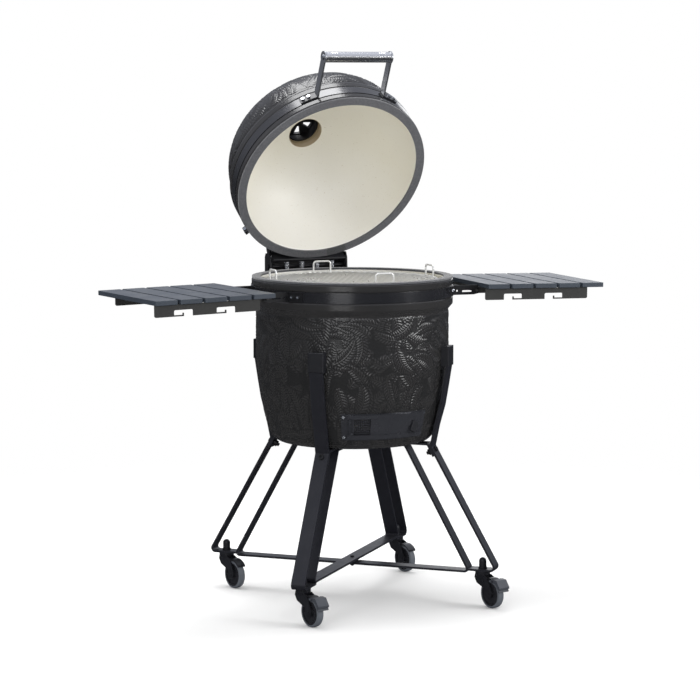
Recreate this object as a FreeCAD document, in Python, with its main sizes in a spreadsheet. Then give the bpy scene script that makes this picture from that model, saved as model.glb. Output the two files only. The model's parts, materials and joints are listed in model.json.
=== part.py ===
"""Ceramic kamado grill on a four-legged caster stand, built in millimetres.

Frame: +Z up, floor at Z = 0, the pot's axis on X = Y = 0, the draft door faces -Y,
the lid's hinge is at +Y and the shelves stand out along -X (left) and +X (right).
"""
import FreeCAD
import Part
import Sketcher
import math
import os
import re
from FreeCAD import Placement, Rotation, Vector

doc = FreeCAD.newDocument("kamado_grill")
sheet = doc.addObject("Spreadsheet::Sheet", "Sizes")
sheet.Label = "sizes"

# ---------------------------------------------------------------- driving sizes (mm, degrees)
SIZES = [
    ("rim_rad", 285, "outside radius of both ridges"),
    ("groove_rad", 282, "bottom of the groove that the steel band sits in"),
    ("body_rad", 272, "straight side of pot and dome"),
    ("mouth_rad", 259, "inside radius at the rim"),
    ("rim_top", 918, "top of the pot's ceramic rim"),
    ("felt", 5, "thickness of each felt gasket"),
    ("felt_rad", 284, "outside radius of the felt"),
    ("ridge", 21, "height of the ridge next to the rim"),
    ("band_high", 30, "height of the steel band"),
    ("band_out", 284.6, "outside radius of the steel band"),
    ("ridge_two", 22, "height of the second ridge"),
    ("shoulder", 14, "height of the sloped shoulder"),
    ("pot_base", 456, "underside of the pot"),
    ("wall", 28, "ceramic wall"),
    ("dome_high", 264, "lid height above its own gasket face"),
    ("flue_rad", 50, "radius of the hole in the dome"),
    ("lid_open", 55.74, "lid angle in the stored pose"),
    ("pivot_y", 317, "lid pivot behind the axis"),
    ("pivot_z", 927.5, "lid pivot height"),
    ("pin_rad", 5, "lid hinge pin"),
    ("cheek_x", 122, "middle of each base hinge cheek"),
    ("spring_y", 299, "line of the four springs"),
    ("spring_pitch", 48.5, "spacing of the springs"),
    ("ledge_z", 876, "top of the spring ledge"),
    ("bar_z", 948, "spring bar on the lid side, lid open"),
    ("grip_y", 382.5, "grip axis in front of the pot axis, lid closed"),
    ("grip_z", 980.7, "grip axis height, lid closed"),
    ("grip_rad", 15, "grip tube radius"),
    ("arm_x", 102, "middle of each handle arm"),
    ("leg_wide", 40, "width of the flat bar"),
    ("leg_thick", 6, "thickness of the flat bar"),
    ("foot_rad", 436, "outer corner of a leg"),
    ("foot_z", 103, "middle of the foot bar"),
    ("waist_rad", 241.5, "narrowest part of a leg"),
    ("waist_z", 447, "height of the waist"),
    ("inner_rad", 356, "corner of the inner strut"),
    ("inner_top", 165, "top of the inner strut"),
    ("stem_rad", 391, "caster stems"),
    ("trail", 42, "caster trail"),
    ("swing", 12, "direction the casters trail in, from -Y towards +X"),
    ("wheel_rad", 40, "caster wheel radius"),
    ("wheel_wide", 20, "caster tyre width"),
    ("axle_rad", 4, "caster axle"),
    ("shelf_x", 519.8, "middle of a shelf, sideways"),
    ("shelf_y", -40.5, "middle of a shelf, front to back"),
    ("shelf_z", 898.4, "top of a shelf at its middle"),
    ("shelf_half", 178.8, "half of a shelf's reach"),
    ("shelf_deep", 184.6, "half of a shelf front to back"),
    ("toe", 4.9, "both shelves turn a little to the front"),
    ("droop", 0.8, "slack of the shelf in its bracket"),
    ("slat_gap", 8, "gap between slats"),
    ("slat_thick", 13, "slat thickness"),
    ("side_high", 32, "height of a shelf's side plate"),
    ("pivot_in", 191, "shelf pivot, inwards from the shelf's middle"),
    ("pivot_drop", 21, "shelf pivot below the shelf's top"),
    ("rod_rad", 4, "shelf pivot rod"),
    ("grate_rad", 243, "cooking grate"),
    ("grate_z", 912, "middle of the cooking grate's bars"),
    ("grate_pitch", 16, "spacing of the grate's bars"),
    ("wire", 3, "radius of the grate's heavy wire"),
    ("loop_top", 948, "top of the four lifting loops"),
    ("grate_turn", -3.3, "the grate lies a little turned"),
    ("door_low", 497.5, "bottom of the draft door"),
    ("door_top", 550.5, "top of the draft door"),
    ("frame_low", 486, "bottom of the draft frame"),
    ("frame_top", 561, "top of the draft frame"),
]
for row, (alias, value, note) in enumerate(SIZES, 1):
    sheet.set("A%d" % row, note)
    sheet.set("B%d" % row, str(value))
    sheet.setAlias("B%d" % row, alias)
doc.recompute()


def mm(alias):
    """One cell of the sheet as a number."""
    return float(sheet.get(alias))


def value_of(text):
    """Value of a sum of products of numbers and sheet words, such as 'rim_top - 2*felt'."""
    total = 0.0
    for term in text.replace(" ", "").replace("-", "+-").split("+"):
        if not term:
            continue
        sign = -1.0 if term.startswith("-") else 1.0
        product = sign
        for factor in term.lstrip("-").split("*"):
            product *= mm(factor) if factor[0].isalpha() else float(factor)
        total += product
    return total


def bound(text):
    """The same sum as an expression on the sheet."""
    return re.sub(r"[a-z_]+", lambda word: "Sizes." + word.group(0), text)


SUBPARTS = []


def keep(feature, placement=None):
    """List a finished sub-part, and place it."""
    if placement is not None:
        feature.Placement = placement
    SUBPARTS.append(feature)
    return feature


def feature(label, shape, placement=None):
    """A sub-part whose shape is worked out here from the sheet's sizes."""
    item = doc.addObject("Part::Feature", label)
    item.Label = label
    item.Shape = shape
    return keep(item, placement)


def origin_item(body, role):
    """The body's own plane or axis."""
    return [item for item in body.Origin.OriginFeatures if item.Role == role][0]


def outline(body, name, plane, corners):
    """A closed sketch on one of the body's planes, every corner bound to the sheet."""
    sketch = body.newObject("Sketcher::SketchObject", name)
    sketch.AttachmentSupport = [(origin_item(body, plane), "")]
    sketch.MapMode = "FlatFace"
    points = [Vector(value_of(x), value_of(y), 0) for x, y in corners]
    count = len(points)
    for i in range(count):
        sketch.addGeometry(Part.LineSegment(points[i], points[(i + 1) % count]), False)
    for i in range(count):
        sketch.addConstraint(Sketcher.Constraint("Coincident", i, 2, (i + 1) % count, 1))
    for i, (x, y) in enumerate(corners):
        for kind, text, axis in (("DistanceX", x, -2), ("DistanceY", y, -1)):
            number = value_of(text)
            if abs(number) < 1e-9:
                sketch.addConstraint(Sketcher.Constraint("PointOnObject", i, 1, axis))
                continue
            index = sketch.addConstraint(Sketcher.Constraint(kind, -1, 1, i, 1, number))
            sketch.setExpression("Constraints[%d]" % index, bound(text))
    return sketch


def turned(label, corners, placement=None):
    """A body turned about Z from an outline of (radius, height) corners."""
    body = doc.addObject("PartDesign::Body", label)
    body.Label = label
    sketch = outline(body, label + "_outline", "XZ_Plane", corners)
    turn = body.newObject("PartDesign::Revolution", label + "_turn")
    turn.Profile = sketch
    turn.ReferenceAxis = (origin_item(body, "Z_Axis"), [""])
    turn.Angle = 360
    body.Tip = turn
    return keep(body, placement)


def polygon(points):
    """Flat face through a list of vectors."""
    return Part.Face(Part.makePolygon(points + [points[0]]))


def rounded(points, radius, steps=6):
    """Corner points of an open path, each inner corner replaced by an arc."""
    result = [points[0]]
    for before, corner, after in zip(points, points[1:], points[2:]):
        a = (before - corner).normalize()
        b = (after - corner).normalize()
        half = a.getAngle(b) / 2
        reach = min(radius / math.tan(half), (before - corner).Length * 0.45,
                    (after - corner).Length * 0.45)
        bend = reach * math.tan(half)
        middle = corner + (a + b).normalize() * (bend / math.sin(half))
        start = corner + a * reach - middle
        sweep = math.pi - 2 * half
        axis = (a.cross(b)).normalize()
        for step in range(steps + 1):
            turn = Rotation(axis, -math.degrees(sweep) * step / steps)
            result.append(middle + turn.multVec(start))
    result.append(points[-1])
    return result


def strip(path, thick, wide):
    """Flat bar of a given thickness bent along a path in the XZ plane, wide along Y."""
    left, right = [], []
    count = len(path)
    for i, point in enumerate(path):
        before = path[max(i - 1, 0)]
        after = path[min(i + 1, count - 1)]
        a = (point - before).normalize() if i else (after - point).normalize()
        b = (after - point).normalize() if i < count - 1 else a
        normal_a = Vector(-a.z, 0, a.x)
        normal_b = Vector(-b.z, 0, b.x)
        normal = (normal_a + normal_b).normalize()
        offset = thick / 2 / max(normal.dot(normal_a), 0.3)
        left.append(point + normal * offset + Vector(0, -wide / 2, 0))
        right.append(point - normal * offset + Vector(0, -wide / 2, 0))
    return polygon(left + right[::-1]).extrude(Vector(0, wide, 0))


def path(*pairs):
    """Points of the XZ plane."""
    return [Vector(x, 0, z) for x, z in pairs]


def wire_rod(points, radius, bend):
    """Round rod swept along straight pieces joined by bends of one inside radius."""
    edges, start = [], points[0]
    for before, corner, after in zip(points, points[1:], points[2:]):
        a = (before - corner).normalize()
        b = (after - corner).normalize()
        half = a.getAngle(b) / 2
        reach = bend / math.tan(half)
        inward = (a + b).normalize()
        first, last = corner + a * reach, corner + b * reach
        crest = corner + inward * (bend / math.sin(half) - bend)
        edges += [Part.LineSegment(start, first).toShape(), Part.Arc(first, crest, last).toShape()]
        start = last
    edges.append(Part.LineSegment(start, points[-1]).toShape())
    ring = Part.Circle(points[0], points[1] - points[0], radius).toShape()
    return Part.Wire(edges).makePipeShell([Part.Wire(ring)], True, True)


def sector(inner, outer, low, high, start, end):
    """Ring segment about Z between two angles."""
    face = polygon([Vector(inner, 0, low), Vector(outer, 0, low),
                    Vector(outer, 0, high), Vector(inner, 0, high)])
    ring = face.revolve(Vector(0, 0, 0), Vector(0, 0, 1), end - start)
    ring.rotate(Vector(0, 0, 0), Vector(0, 0, 1), start)
    return ring


def about_z(shape, angle):
    """Copy of a shape turned about the pot's axis."""
    other = shape.copy()
    other.rotate(Vector(0, 0, 0), Vector(0, 0, 1), angle)
    return other


def fuse(shapes):
    """One solid out of overlapping pieces."""
    joined = shapes[0].multiFuse(shapes[1:]).removeSplitter()
    if len(joined.Solids) == 1:
        return joined.Solids[0]
    raise RuntimeError("pieces do not meet: %d solids" % len(joined.Solids))


def bolt(point, direction, head_rad, head_high, shank_rad, shank_long, socket=0.0):
    """Screw with its head standing out along direction and its shank the other way."""
    out = Vector(direction).normalize()
    head = Part.makeCylinder(head_rad, head_high, point, out)
    shank = Part.makeCylinder(shank_rad, shank_long, point - out * shank_long, out)
    whole = head.fuse(shank)
    if socket:
        whole = whole.cut(Part.makeCylinder(socket, head_high * 0.6,
                                            point + out * head_high * 0.4, out))
    return whole.Solids[0]


LID = Placement(Vector(0, 0, 0), Rotation(Vector(1, 0, 0), -mm("lid_open")),
                Vector(0, mm("pivot_y"), mm("pivot_z")))

# ---------------------------------------------------------------- ceramic pot
rim = mm("rim_top")
band_top = rim - mm("ridge")
band_low = band_top - mm("band_high")
ridge_low = band_low - mm("ridge_two")
side_top = ridge_low - mm("shoulder")
def spline(points):
    """Smooth edge through (radius, height) points."""
    curve = Part.BSplineCurve()
    curve.interpolate([Vector(r, 0, z) for r, z in points])
    return curve.toShape()


def line(a, b):
    """Straight edge between two (radius, height) points."""
    return Part.LineSegment(Vector(a[0], 0, a[1]), Vector(b[0], 0, b[1])).toShape()


def spin(edges):
    """Solid of revolution about Z from a closed chain of edges."""
    face = Part.Face(Part.Wire(edges))
    return face.revolve(Vector(0, 0, 0), Vector(0, 0, 1), 360)


def chain(points):
    """Straight edges through (radius, height) points."""
    return [line(a, b) for a, b in zip(points, points[1:])]


R, G, B, M = mm("rim_rad"), mm("groove_rad"), mm("body_rad"), mm("mouth_rad")
edge = 4.0
outer_rim = [(M + 3, rim), (R - edge, rim), (R - 1.2, rim - 1.2), (R, rim - edge),
             (R, band_top + edge), (R - 1.2, band_top + 1), (R - 2.4, band_top),
             (G, band_top), (G, band_low), (R - 2.4, band_low), (R - 1.2, band_low - 1),
             (R, band_low - edge), (R, ridge_low + 3), (R - 1, ridge_low),
             (B + 1.5, side_top + 1.5), (B, side_top - 2), (B, 725)]
outer_side = spline([(B, 725), (270.4, 682), (264, 625), (256.8, 573), (250, 539),
                     (238.8, 495), (230, 474), (221, 463), (205, mm("pot_base"))])
floor_in = mm("pot_base") + mm("wall")
inner_side = spline([(M - 13, 840), (246, 725), (243, 682), (236, 625), (229, 573),
                     (222, 539), (209, 505), (190, floor_in)])
pot = spin(chain(outer_rim) + [outer_side]
           + chain([(205, mm("pot_base")), (0, mm("pot_base")), (0, floor_in), (190, floor_in)])
           + [inner_side] + chain([(M - 13, 840), (M - 5, 862), (M, 872), (M, rim - 3), (M + 3, rim)]))



def side_radius(height):
    """Outside radius of the pot's tapering side at a height, found on its own curve."""
    low, high = outer_side.FirstParameter, outer_side.LastParameter
    for _ in range(40):
        middle = (low + high) / 2
        if outer_side.valueAt(middle).z > height:
            low = middle
        else:
            high = middle
    return outer_side.valueAt(low).x


# draft opening: a window through the front wall, a little larger at the outside
WINDOW = (-114.0, -92.0, 502.0, 546.0)
window = sector(190, 275, WINDOW[2], WINDOW[3], WINDOW[0], WINDOW[1])
feature("base_pot", pot.cut(window))

turned("base_gasket", [("mouth_rad + 1", "rim_top"), ("felt_rad", "rim_top"),
                       ("felt_rad", "rim_top + felt"), ("mouth_rad + 1", "rim_top + felt")])


def clamp_band(low, angles):
    """Steel band with its outward clamp lugs; low is its lower edge."""
    high = low + mm("band_high") - 1
    ring = Part.makeCylinder(mm("band_out"), high - low - 1, Vector(0, 0, low + 1))
    ring = ring.cut(Part.makeCylinder(G, high - low - 1, Vector(0, 0, low + 1)))
    for angle in angles:
        slit = Part.makeBox(20, 4, 40, Vector(G - 8, -2, low - 4))
        ring = ring.cut(about_z(slit, angle))
    parts = []
    for angle in angles:
        for side in (-1, 1):
            y = 2 if side > 0 else -5
            lug = Part.makeBox(16, 3, high - low - 5, Vector(G + 0.6, y, low + 3))
            hole = Part.makeCylinder(2.6, 20, Vector(G + 9.6, -10, (low + high) / 2), Vector(0, 1, 0))
            parts.append(about_z(lug.cut(hole), angle))
    return ring, parts


def clamp_bolts(low, angles):
    """Bolt and nut that pull each pair of clamp lugs together."""
    made = []
    centre = low + (mm("band_high") - 1) / 2
    for angle in angles:
        shank = bolt(Vector(G + 9.6, 5, centre), Vector(0, 1, 0), 5, 4, 2.5, 18, 1.6)
        nut = Part.makeCylinder(5, 5, Vector(G + 9.6, -10, centre), Vector(0, 1, 0))
        made.append(about_z(shank.fuse(nut).Solids[0], angle))
    return made


CLAMPS = (40.0, 140.0)
ring, lugs = clamp_band(band_low, CLAMPS)
feature("base_band", Part.Compound([solid for solid in ring.multiFuse(lugs).Solids]))

# ---------------------------------------------------------------- parts inside the pot
fire_low = floor_in
box_out = [(168, fire_low), (183, fire_low + 6), (200, 520), (214, 580), (222, 640), (226, 700)]
coal_seat = 556.0
box_in = [(190, coal_seat), (195, 582), (203, 640), (206, 700)]
ash_in = [(150, fire_low + 16), (163, fire_low + 20), (172, 526), (177, coal_seat)]
firebox = spin([spline(box_out), line((226, 700), (206, 700)), spline(box_in[::-1]),
                line((190, coal_seat), (177, coal_seat)), spline(ash_in[::-1])]
               + chain([(150, fire_low + 16), (60, fire_low + 16), (60, fire_low), (168, fire_low)]))
firebox = firebox.cut(sector(140, 240, 504, 548, -116, -90))
feature("firebox", firebox)
turned("fire_ring", [("206", "700.5"), ("227", "700.5"), ("236", "798"), ("216", "798")])

# the charcoal grate lies on the firebox's ledge, above the draft opening
coal_rad = 187.0
coal = [Part.makeCylinder(coal_rad, 8, Vector(0, 0, coal_seat)).cut(
    Part.makeCylinder(coal_rad - 10, 8, Vector(0, 0, coal_seat)))]
for index in range(-8, 9):
    offset = index * 20.0
    half = math.sqrt((coal_rad - 5) ** 2 - offset ** 2)
    coal.append(Part.makeBox(2 * half, 8, 8, Vector(-half, offset - 4, coal_seat)))
feature("charcoal_grate", fuse(coal))

# cooking grate: ring, bars, four loops that stand up and four legs that reach the fire ring
gr, gz, wr = mm("grate_rad"), mm("grate_z"), mm("wire")
grate = [Part.makeTorus(gr - wr, wr, Vector(0, 0, gz))]
pitch = mm("grate_pitch")
reach_bars = int((gr - 12) // pitch)
for index in range(-reach_bars, reach_bars + 1):
    x = index * pitch
    half = math.sqrt((gr - wr) ** 2 - x ** 2)
    grate.append(Part.makeCylinder(2, 2 * half, Vector(x, -half, gz), Vector(0, 1, 0)))
grate.append(Part.makeCylinder(2.5, 2 * (gr - wr), Vector(-gr + wr, 0, gz - 4), Vector(1, 0, 0)))
loop_wire, loop_half = 2.6, 26.5
loop_x = math.sqrt((gr - wr) ** 2 - loop_half ** 2)
for angle in (0, 90, 180, 270):
    loop = wire_rod([Vector(loop_x, -loop_half, gz), Vector(loop_x, -loop_half, mm("loop_top") - 3),
                     Vector(loop_x, loop_half, mm("loop_top") - 3), Vector(loop_x, loop_half, gz)],
                    loop_wire, 9)
    leg = wire_rod([Vector(gr - wr, 0, gz), Vector(gr - wr, 0, 840), Vector(228, 0, 801.5)],
                   loop_wire, 12)
    grate.append(about_z(loop, angle))
    grate.append(about_z(leg, angle))
grate = fuse(grate)
feature("cooking_grate", about_z(grate, mm("grate_turn")))

# ---------------------------------------------------------------- draft door on the pot's front


def shell(near, far, low, high, start, end):
    """Curved plate that follows the pot's side, from near to far off its surface."""
    heights = [low, (low + high) / 2, high]
    inner = [Vector(side_radius(z) + near, 0, z) for z in heights]
    outer = [Vector(side_radius(z) + far, 0, z) for z in heights[::-1]]
    plate = polygon(inner + outer).revolve(Vector(0, 0, 0), Vector(0, 0, 1), end - start)
    plate.rotate(Vector(0, 0, 0), Vector(0, 0, 1), start)
    return plate


f_low, f_top = mm("frame_low"), mm("frame_top")
d_low, d_top = mm("door_low"), mm("door_top")
FRAME = (-122.0, -63.0)
frame = [shell(1, 4, f_low, f_top, FRAME[0], FRAME[1]),
         shell(1, 10, f_low + 3, d_low - 0.5, FRAME[0] + 4, FRAME[1] - 3),
         shell(1, 10, d_top + 0.5, f_top - 3, FRAME[0] + 4, FRAME[1] - 3),
         shell(8.6, 10, d_low - 1, d_low + 3.5, FRAME[0] + 4, FRAME[1] - 3),
         shell(8.6, 10, d_top - 3.5, d_top + 1, FRAME[0] + 4, FRAME[1] - 3)]
frame = fuse(frame).cut(shell(-3, 5, 499.5, 548.5, -115.5, -90.5)).cut(pot)
feature("draft_frame", frame.Solids[0])

screen = shell(4.3, 5.7, d_low, d_top, -116.4, -91)
holes = []
for column in range(10):
    angle = -113.4 + column * 1.17
    for line_no in range(9):
        z = 504.2 + line_no * 5.0
        radius = side_radius(z)
        hole = Part.makeBox(12, 3.2, 3.2, Vector(radius - 1, -1.6, z - 1.6))
        holes.append(about_z(hole, angle))
screen = screen.cut(Part.Compound(holes))
lip = shell(4.3, 13, d_low + 4, d_top - 4, -117.0, -116.0)
knob = Part.makeCylinder(3.2, 11, Vector(side_radius(506) + 4.6, 0, 506), Vector(1, 0, 0))
feature("draft_screen", fuse([screen, lip, about_z(knob, -115.4)]))

feature("draft_door", shell(6.1, 8.3, d_low, d_top, -103.7, -68.0))
pull = polygon([Vector(0, -15, -10), Vector(0, 2, -19), Vector(0, 16, 9), Vector(0, -4, 18)])
pull = pull.extrude(Vector(9, 0, 0))
pull = pull.makeFillet(1.5, pull.Edges)
pull.translate(Vector(side_radius(518) + 8.0, 0, 519))
door_skin = shell(-20, 8.3, d_low, d_top, -90, -60)
feature("door_pull", about_z(pull, -73.6).cut(door_skin).Solids[0])

screws = []
for angle, z in ((-120.5, 552), (-120.5, 495), (-64.6, 552), (-64.6, 495)):
    radius = side_radius(z) + 4
    screws.append(about_z(bolt(Vector(radius, 0, z), Vector(1, 0, 0), 4, 3, 2, 12, 1.4), angle))
feature("draft_screws", Part.Compound(screws))

# ---------------------------------------------------------------- stand of bent flat bar
w, t = mm("leg_wide"), mm("leg_thick")
fz = mm("foot_z")
leg_path = path((289, 726), (288.6, 676), (280, 622), (270, 564.5), (254, 507),
                (mm("waist_rad"), mm("waist_z")), (mm("foot_rad"), fz), (343, fz))
leg = strip(rounded(leg_path, 10), t, w)
stem = mm("stem_rad")
leg = leg.cut(Part.makeCylinder(6.1, 40, Vector(stem, 0, fz - 20)))
bolt_z = 437.0
leg_slope = (mm("foot_rad") - mm("waist_rad")) / (mm("waist_z") - fz)
bolt_rad = mm("waist_rad") + (mm("waist_z") - bolt_z) * leg_slope
out = Vector(1, 0, leg_slope).normalize()
leg_hole = Part.makeCylinder(5.1, 60, Vector(bolt_rad, 0, bolt_z) - out * 30, out)
leg = leg.cut(leg_hole)
LEGS = {"leg_front_left": 225, "leg_front_right": 315, "leg_back_left": 135, "leg_back_right": 45}

# each inner frame is one bent bar: strut, cross bar, strut, with tabs under the cradle strap
inner, top = mm("inner_rad"), mm("inner_top")
strap_low = mm("pot_base") - t
low_bar = None
for name, bar_z, angle in (("inner_frame_low", fz - t, 135), ("inner_frame_high", fz + t, 45)):
    half = [(top - 34, strap_low - t / 2), (top, strap_low - t / 2), (inner, bar_z)]
    pairs = half + [(-x, z) for x, z in half[::-1]]
    bar = strip(rounded(path(*pairs), 8), t, w)
    for side in (-1, 1):
        bar = bar.cut(Part.makeCylinder(3.1, 30, Vector(side * (top - 22), 0, strap_low - 20)))
    bar = bar.cut(Part.makeCylinder(3.1, 30, Vector(0, 0, bar_z - 15)))
    low_bar = low_bar or bar
    feature(name, about_z(bar, angle))

# the low inner frame passes inside two of the feet, so those feet end against its struts
notched = max(leg.cut(low_bar).Solids, key=lambda solid: solid.Volume)
for name, angle in LEGS.items():
    feature(name, about_z(notched if angle in (135, 315) else leg, angle))

# the cradle straps cross under the pot; each end turns down inside its legs and is bolted there
for name, angle in (("cradle_strap_a", 135), ("cradle_strap_b", 45)):
    end = [(mm("waist_rad") - t - 0.8, strap_low + t / 2), (bolt_rad - t - 1.0, bolt_z),
           (bolt_rad + 8 - t, bolt_z - 15)]
    middle = strap_low + t / 2
    flat = mm("waist_rad") - t - 3
    first = (flat, middle)
    down = (bolt_rad - t * out.x - 0.2 + 15 * leg_slope, bolt_z - t * out.z - 15)
    pairs = [down, first, (-flat, middle), (-down[0], down[1])]
    bar = strip(rounded(path(*pairs), 7), t, w)
    if angle == 45:
        bar = bar.cut(Part.makeBox(80, w + 1, 20, Vector(-40, -w / 2 - 0.5, middle - 10)))
        ends = bar.Solids
        lap = Part.makeBox(84, w, t / 2, Vector(-42, -w / 2, middle - t / 2))
        bar = fuse([ends[0], ends[1], lap])
    else:
        bar = bar.cut(Part.makeBox(w + 1.0, w + 1, t, Vector(-w / 2 - 0.5, -w / 2 - 0.5, middle - t)))
    for turn in (0, 180):
        bar = bar.cut(about_z(leg_hole, turn)).cut(about_z(leg, turn))
    bar = max(bar.Solids, key=lambda solid: solid.Volume)
    for side in (-1, 1):
        bar = bar.cut(Part.makeCylinder(3.1, 30, Vector(side * (top - 22), 0, middle - 15)))
    feature(name, about_z(bar, angle))

# moulded caps over the upper ends of the legs, which bear on the pot
cap = Part.makeBox(22.5, 46, 56, Vector(B + 0.5, -23, 677))
cap = cap.makeFillet(3, [e for e in cap.Edges if e.BoundBox.XMin > B + 10])
caps = [about_z(cap.cut(leg), angle).Solids[0] for angle in (45, 135, 225, 315)]
feature("arm_caps", Part.Compound(caps))

stand = []
for angle in (45, 135, 225, 315):
    seat = Vector(bolt_rad, 0, bolt_z) + out * (t / 2)
    main = bolt(seat, out, 8, 5, 5, 28, 4)
    dome_at = seat - out * (2 * t + 1)
    nut = Part.makeCylinder(9, 9, dome_at - out * 9, out)
    stand.append(about_z(main.fuse(nut).Solids[0], angle))
    small = bolt(Vector(top - 22, 0, strap_low - t), Vector(0, 0, -1), 5, 4, 3, 9)
    stand.append(about_z(small, angle))
spacer = Part.makeCylinder(9, t, Vector(0, 0, fz - t / 2)).cut(
    Part.makeCylinder(3.1, t, Vector(0, 0, fz - t / 2)))
centre_bolt = bolt(Vector(0, 0, fz + 1.5 * t), Vector(0, 0, 1), 5.5, 4, 3, 26, 2)
stand.append(centre_bolt.fuse(Part.makeCylinder(6, 6, Vector(0, 0, fz - 1.5 * t - 6))).Solids[0])
stand.append(spacer)
feature("stand_bolts", Part.Compound(stand))

# ---------------------------------------------------------------- shelves and their brackets
toe, droop = mm("toe"), mm("droop")
reach, deep, thick = mm("shelf_half"), mm("shelf_deep"), mm("slat_thick")
pin_u, pin_drop = mm("pivot_in"), mm("pivot_drop")


def shelf_place(side):
    """Placement of a shelf built about the middle of its top; side is -1 left, 1 right."""
    turn = -toe if side > 0 else 180 + toe
    spin_z = Rotation(Vector(0, 0, 1), turn)
    tilt = Rotation(Vector(0, 1, 0), droop)
    return Placement(Vector(side * mm("shelf_x"), mm("shelf_y"), mm("shelf_z")), spin_z.multiply(tilt))


slat_wide = (2 * reach - 4 * mm("slat_gap")) / 5


def slats():
    """Five flat slats that run front to back."""
    made = []
    for index in range(5):
        u = -reach + index * (slat_wide + mm("slat_gap"))
        slat = Part.makeBox(slat_wide, 2 * deep, thick, Vector(u, -deep, -thick))
        made.append(slat.makeFillet(1.2, slat.Edges))
    return Part.Compound(made)


def side_plate(start, end, w_at, cuts):
    """Upright plate under the slats, with two hook openings cut up from its lower edge."""
    low = -thick - mm("side_high")
    plate = Part.makeBox(end - start, 3, mm("side_high"), Vector(start, w_at - 1.5, low))
    plate = plate.makeFillet(5, [e for e in plate.Edges if e.BoundBox.ZMax < low + 0.1
                                 and e.BoundBox.YLength > 2] + [])
    for a, b in cuts:
        gap = Part.makeBox(b - a, 10, 17, Vector(a, w_at - 5, low - 0.01))
        gap = gap.makeFillet(4, [e for e in gap.Edges if e.BoundBox.ZMin > low + 16.8
                                 and e.BoundBox.YLength > 2])
        plate = plate.cut(gap)
        plate = plate.fuse(Part.makeBox(29, 3, 3.6, Vector(b - 28, w_at - 1.5, low)))
        plate = plate.fuse(Part.makeBox(3.6, 3, 9, Vector(b - 29, w_at - 1.5, low)))
    return plate


def shelf_frame(front_w, rear_w, mirror):
    """Welded frame under the slats: side plates, cross bars, hinge arms and pivot rod."""
    w_front = -deep + 9 if not mirror else deep - 9
    w_back = -w_front
    inner_flush = [(-reach - 6 + 57, -reach - 6 + 113), (-reach - 6 + 183, -reach - 6 + 239)]
    outer_flush = [(reach - 113, reach - 57), (reach - 239, reach - 183)]
    front_inner = not mirror
    first = side_plate(-reach - 6 if front_inner else -reach + 44,
                       reach - 47 if front_inner else reach, w_front,
                       inner_flush if front_inner else outer_flush)
    second = side_plate(-reach + 44 if front_inner else -reach - 6,
                        reach if front_inner else reach - 47, w_back,
                        outer_flush if front_inner else inner_flush)
    parts = [first, second]
    for u in (-120.0, 95.0):
        parts.append(Part.makeBox(24, 2 * (deep - 9), 4, Vector(u, -deep + 9, -thick - 4)))
    for w_arm in (front_w, rear_w):
        arm = polygon(path((-pin_u - 8, -pin_drop - 9), (-pin_u - 8, -pin_drop + 8),
                           (-reach + 4, -thick), (-80, -thick), (-80, -thick - 8),
                           (-150, -pin_drop - 9)))
        arm = arm.extrude(Vector(0, 4, 0))
        arm.translate(Vector(0, w_arm - 2, 0))
        parts.append(arm)
    span = sorted((front_w, rear_w))
    rod = Part.makeCylinder(mm("rod_rad"), span[1] - span[0] + 30,
                            Vector(-pin_u, span[0] - 15, -pin_drop), Vector(0, 1, 0))
    parts.append(rod)
    return fuse(parts)


BRACKETS = {1: (-125.0, 112.0), -1: (-111.0, 112.0)}
for side, name in ((-1, "shelf_left"), (1, "shelf_right")):
    front, rear = BRACKETS[side]
    arms = (front + 9, rear - 9) if side > 0 else (-front - 9, -rear + 9)
    feature(name + "_slats", slats(), shelf_place(side))
    feature(name + "_frame", shelf_frame(arms[0], arms[1], side < 0), shelf_place(side))

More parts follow.
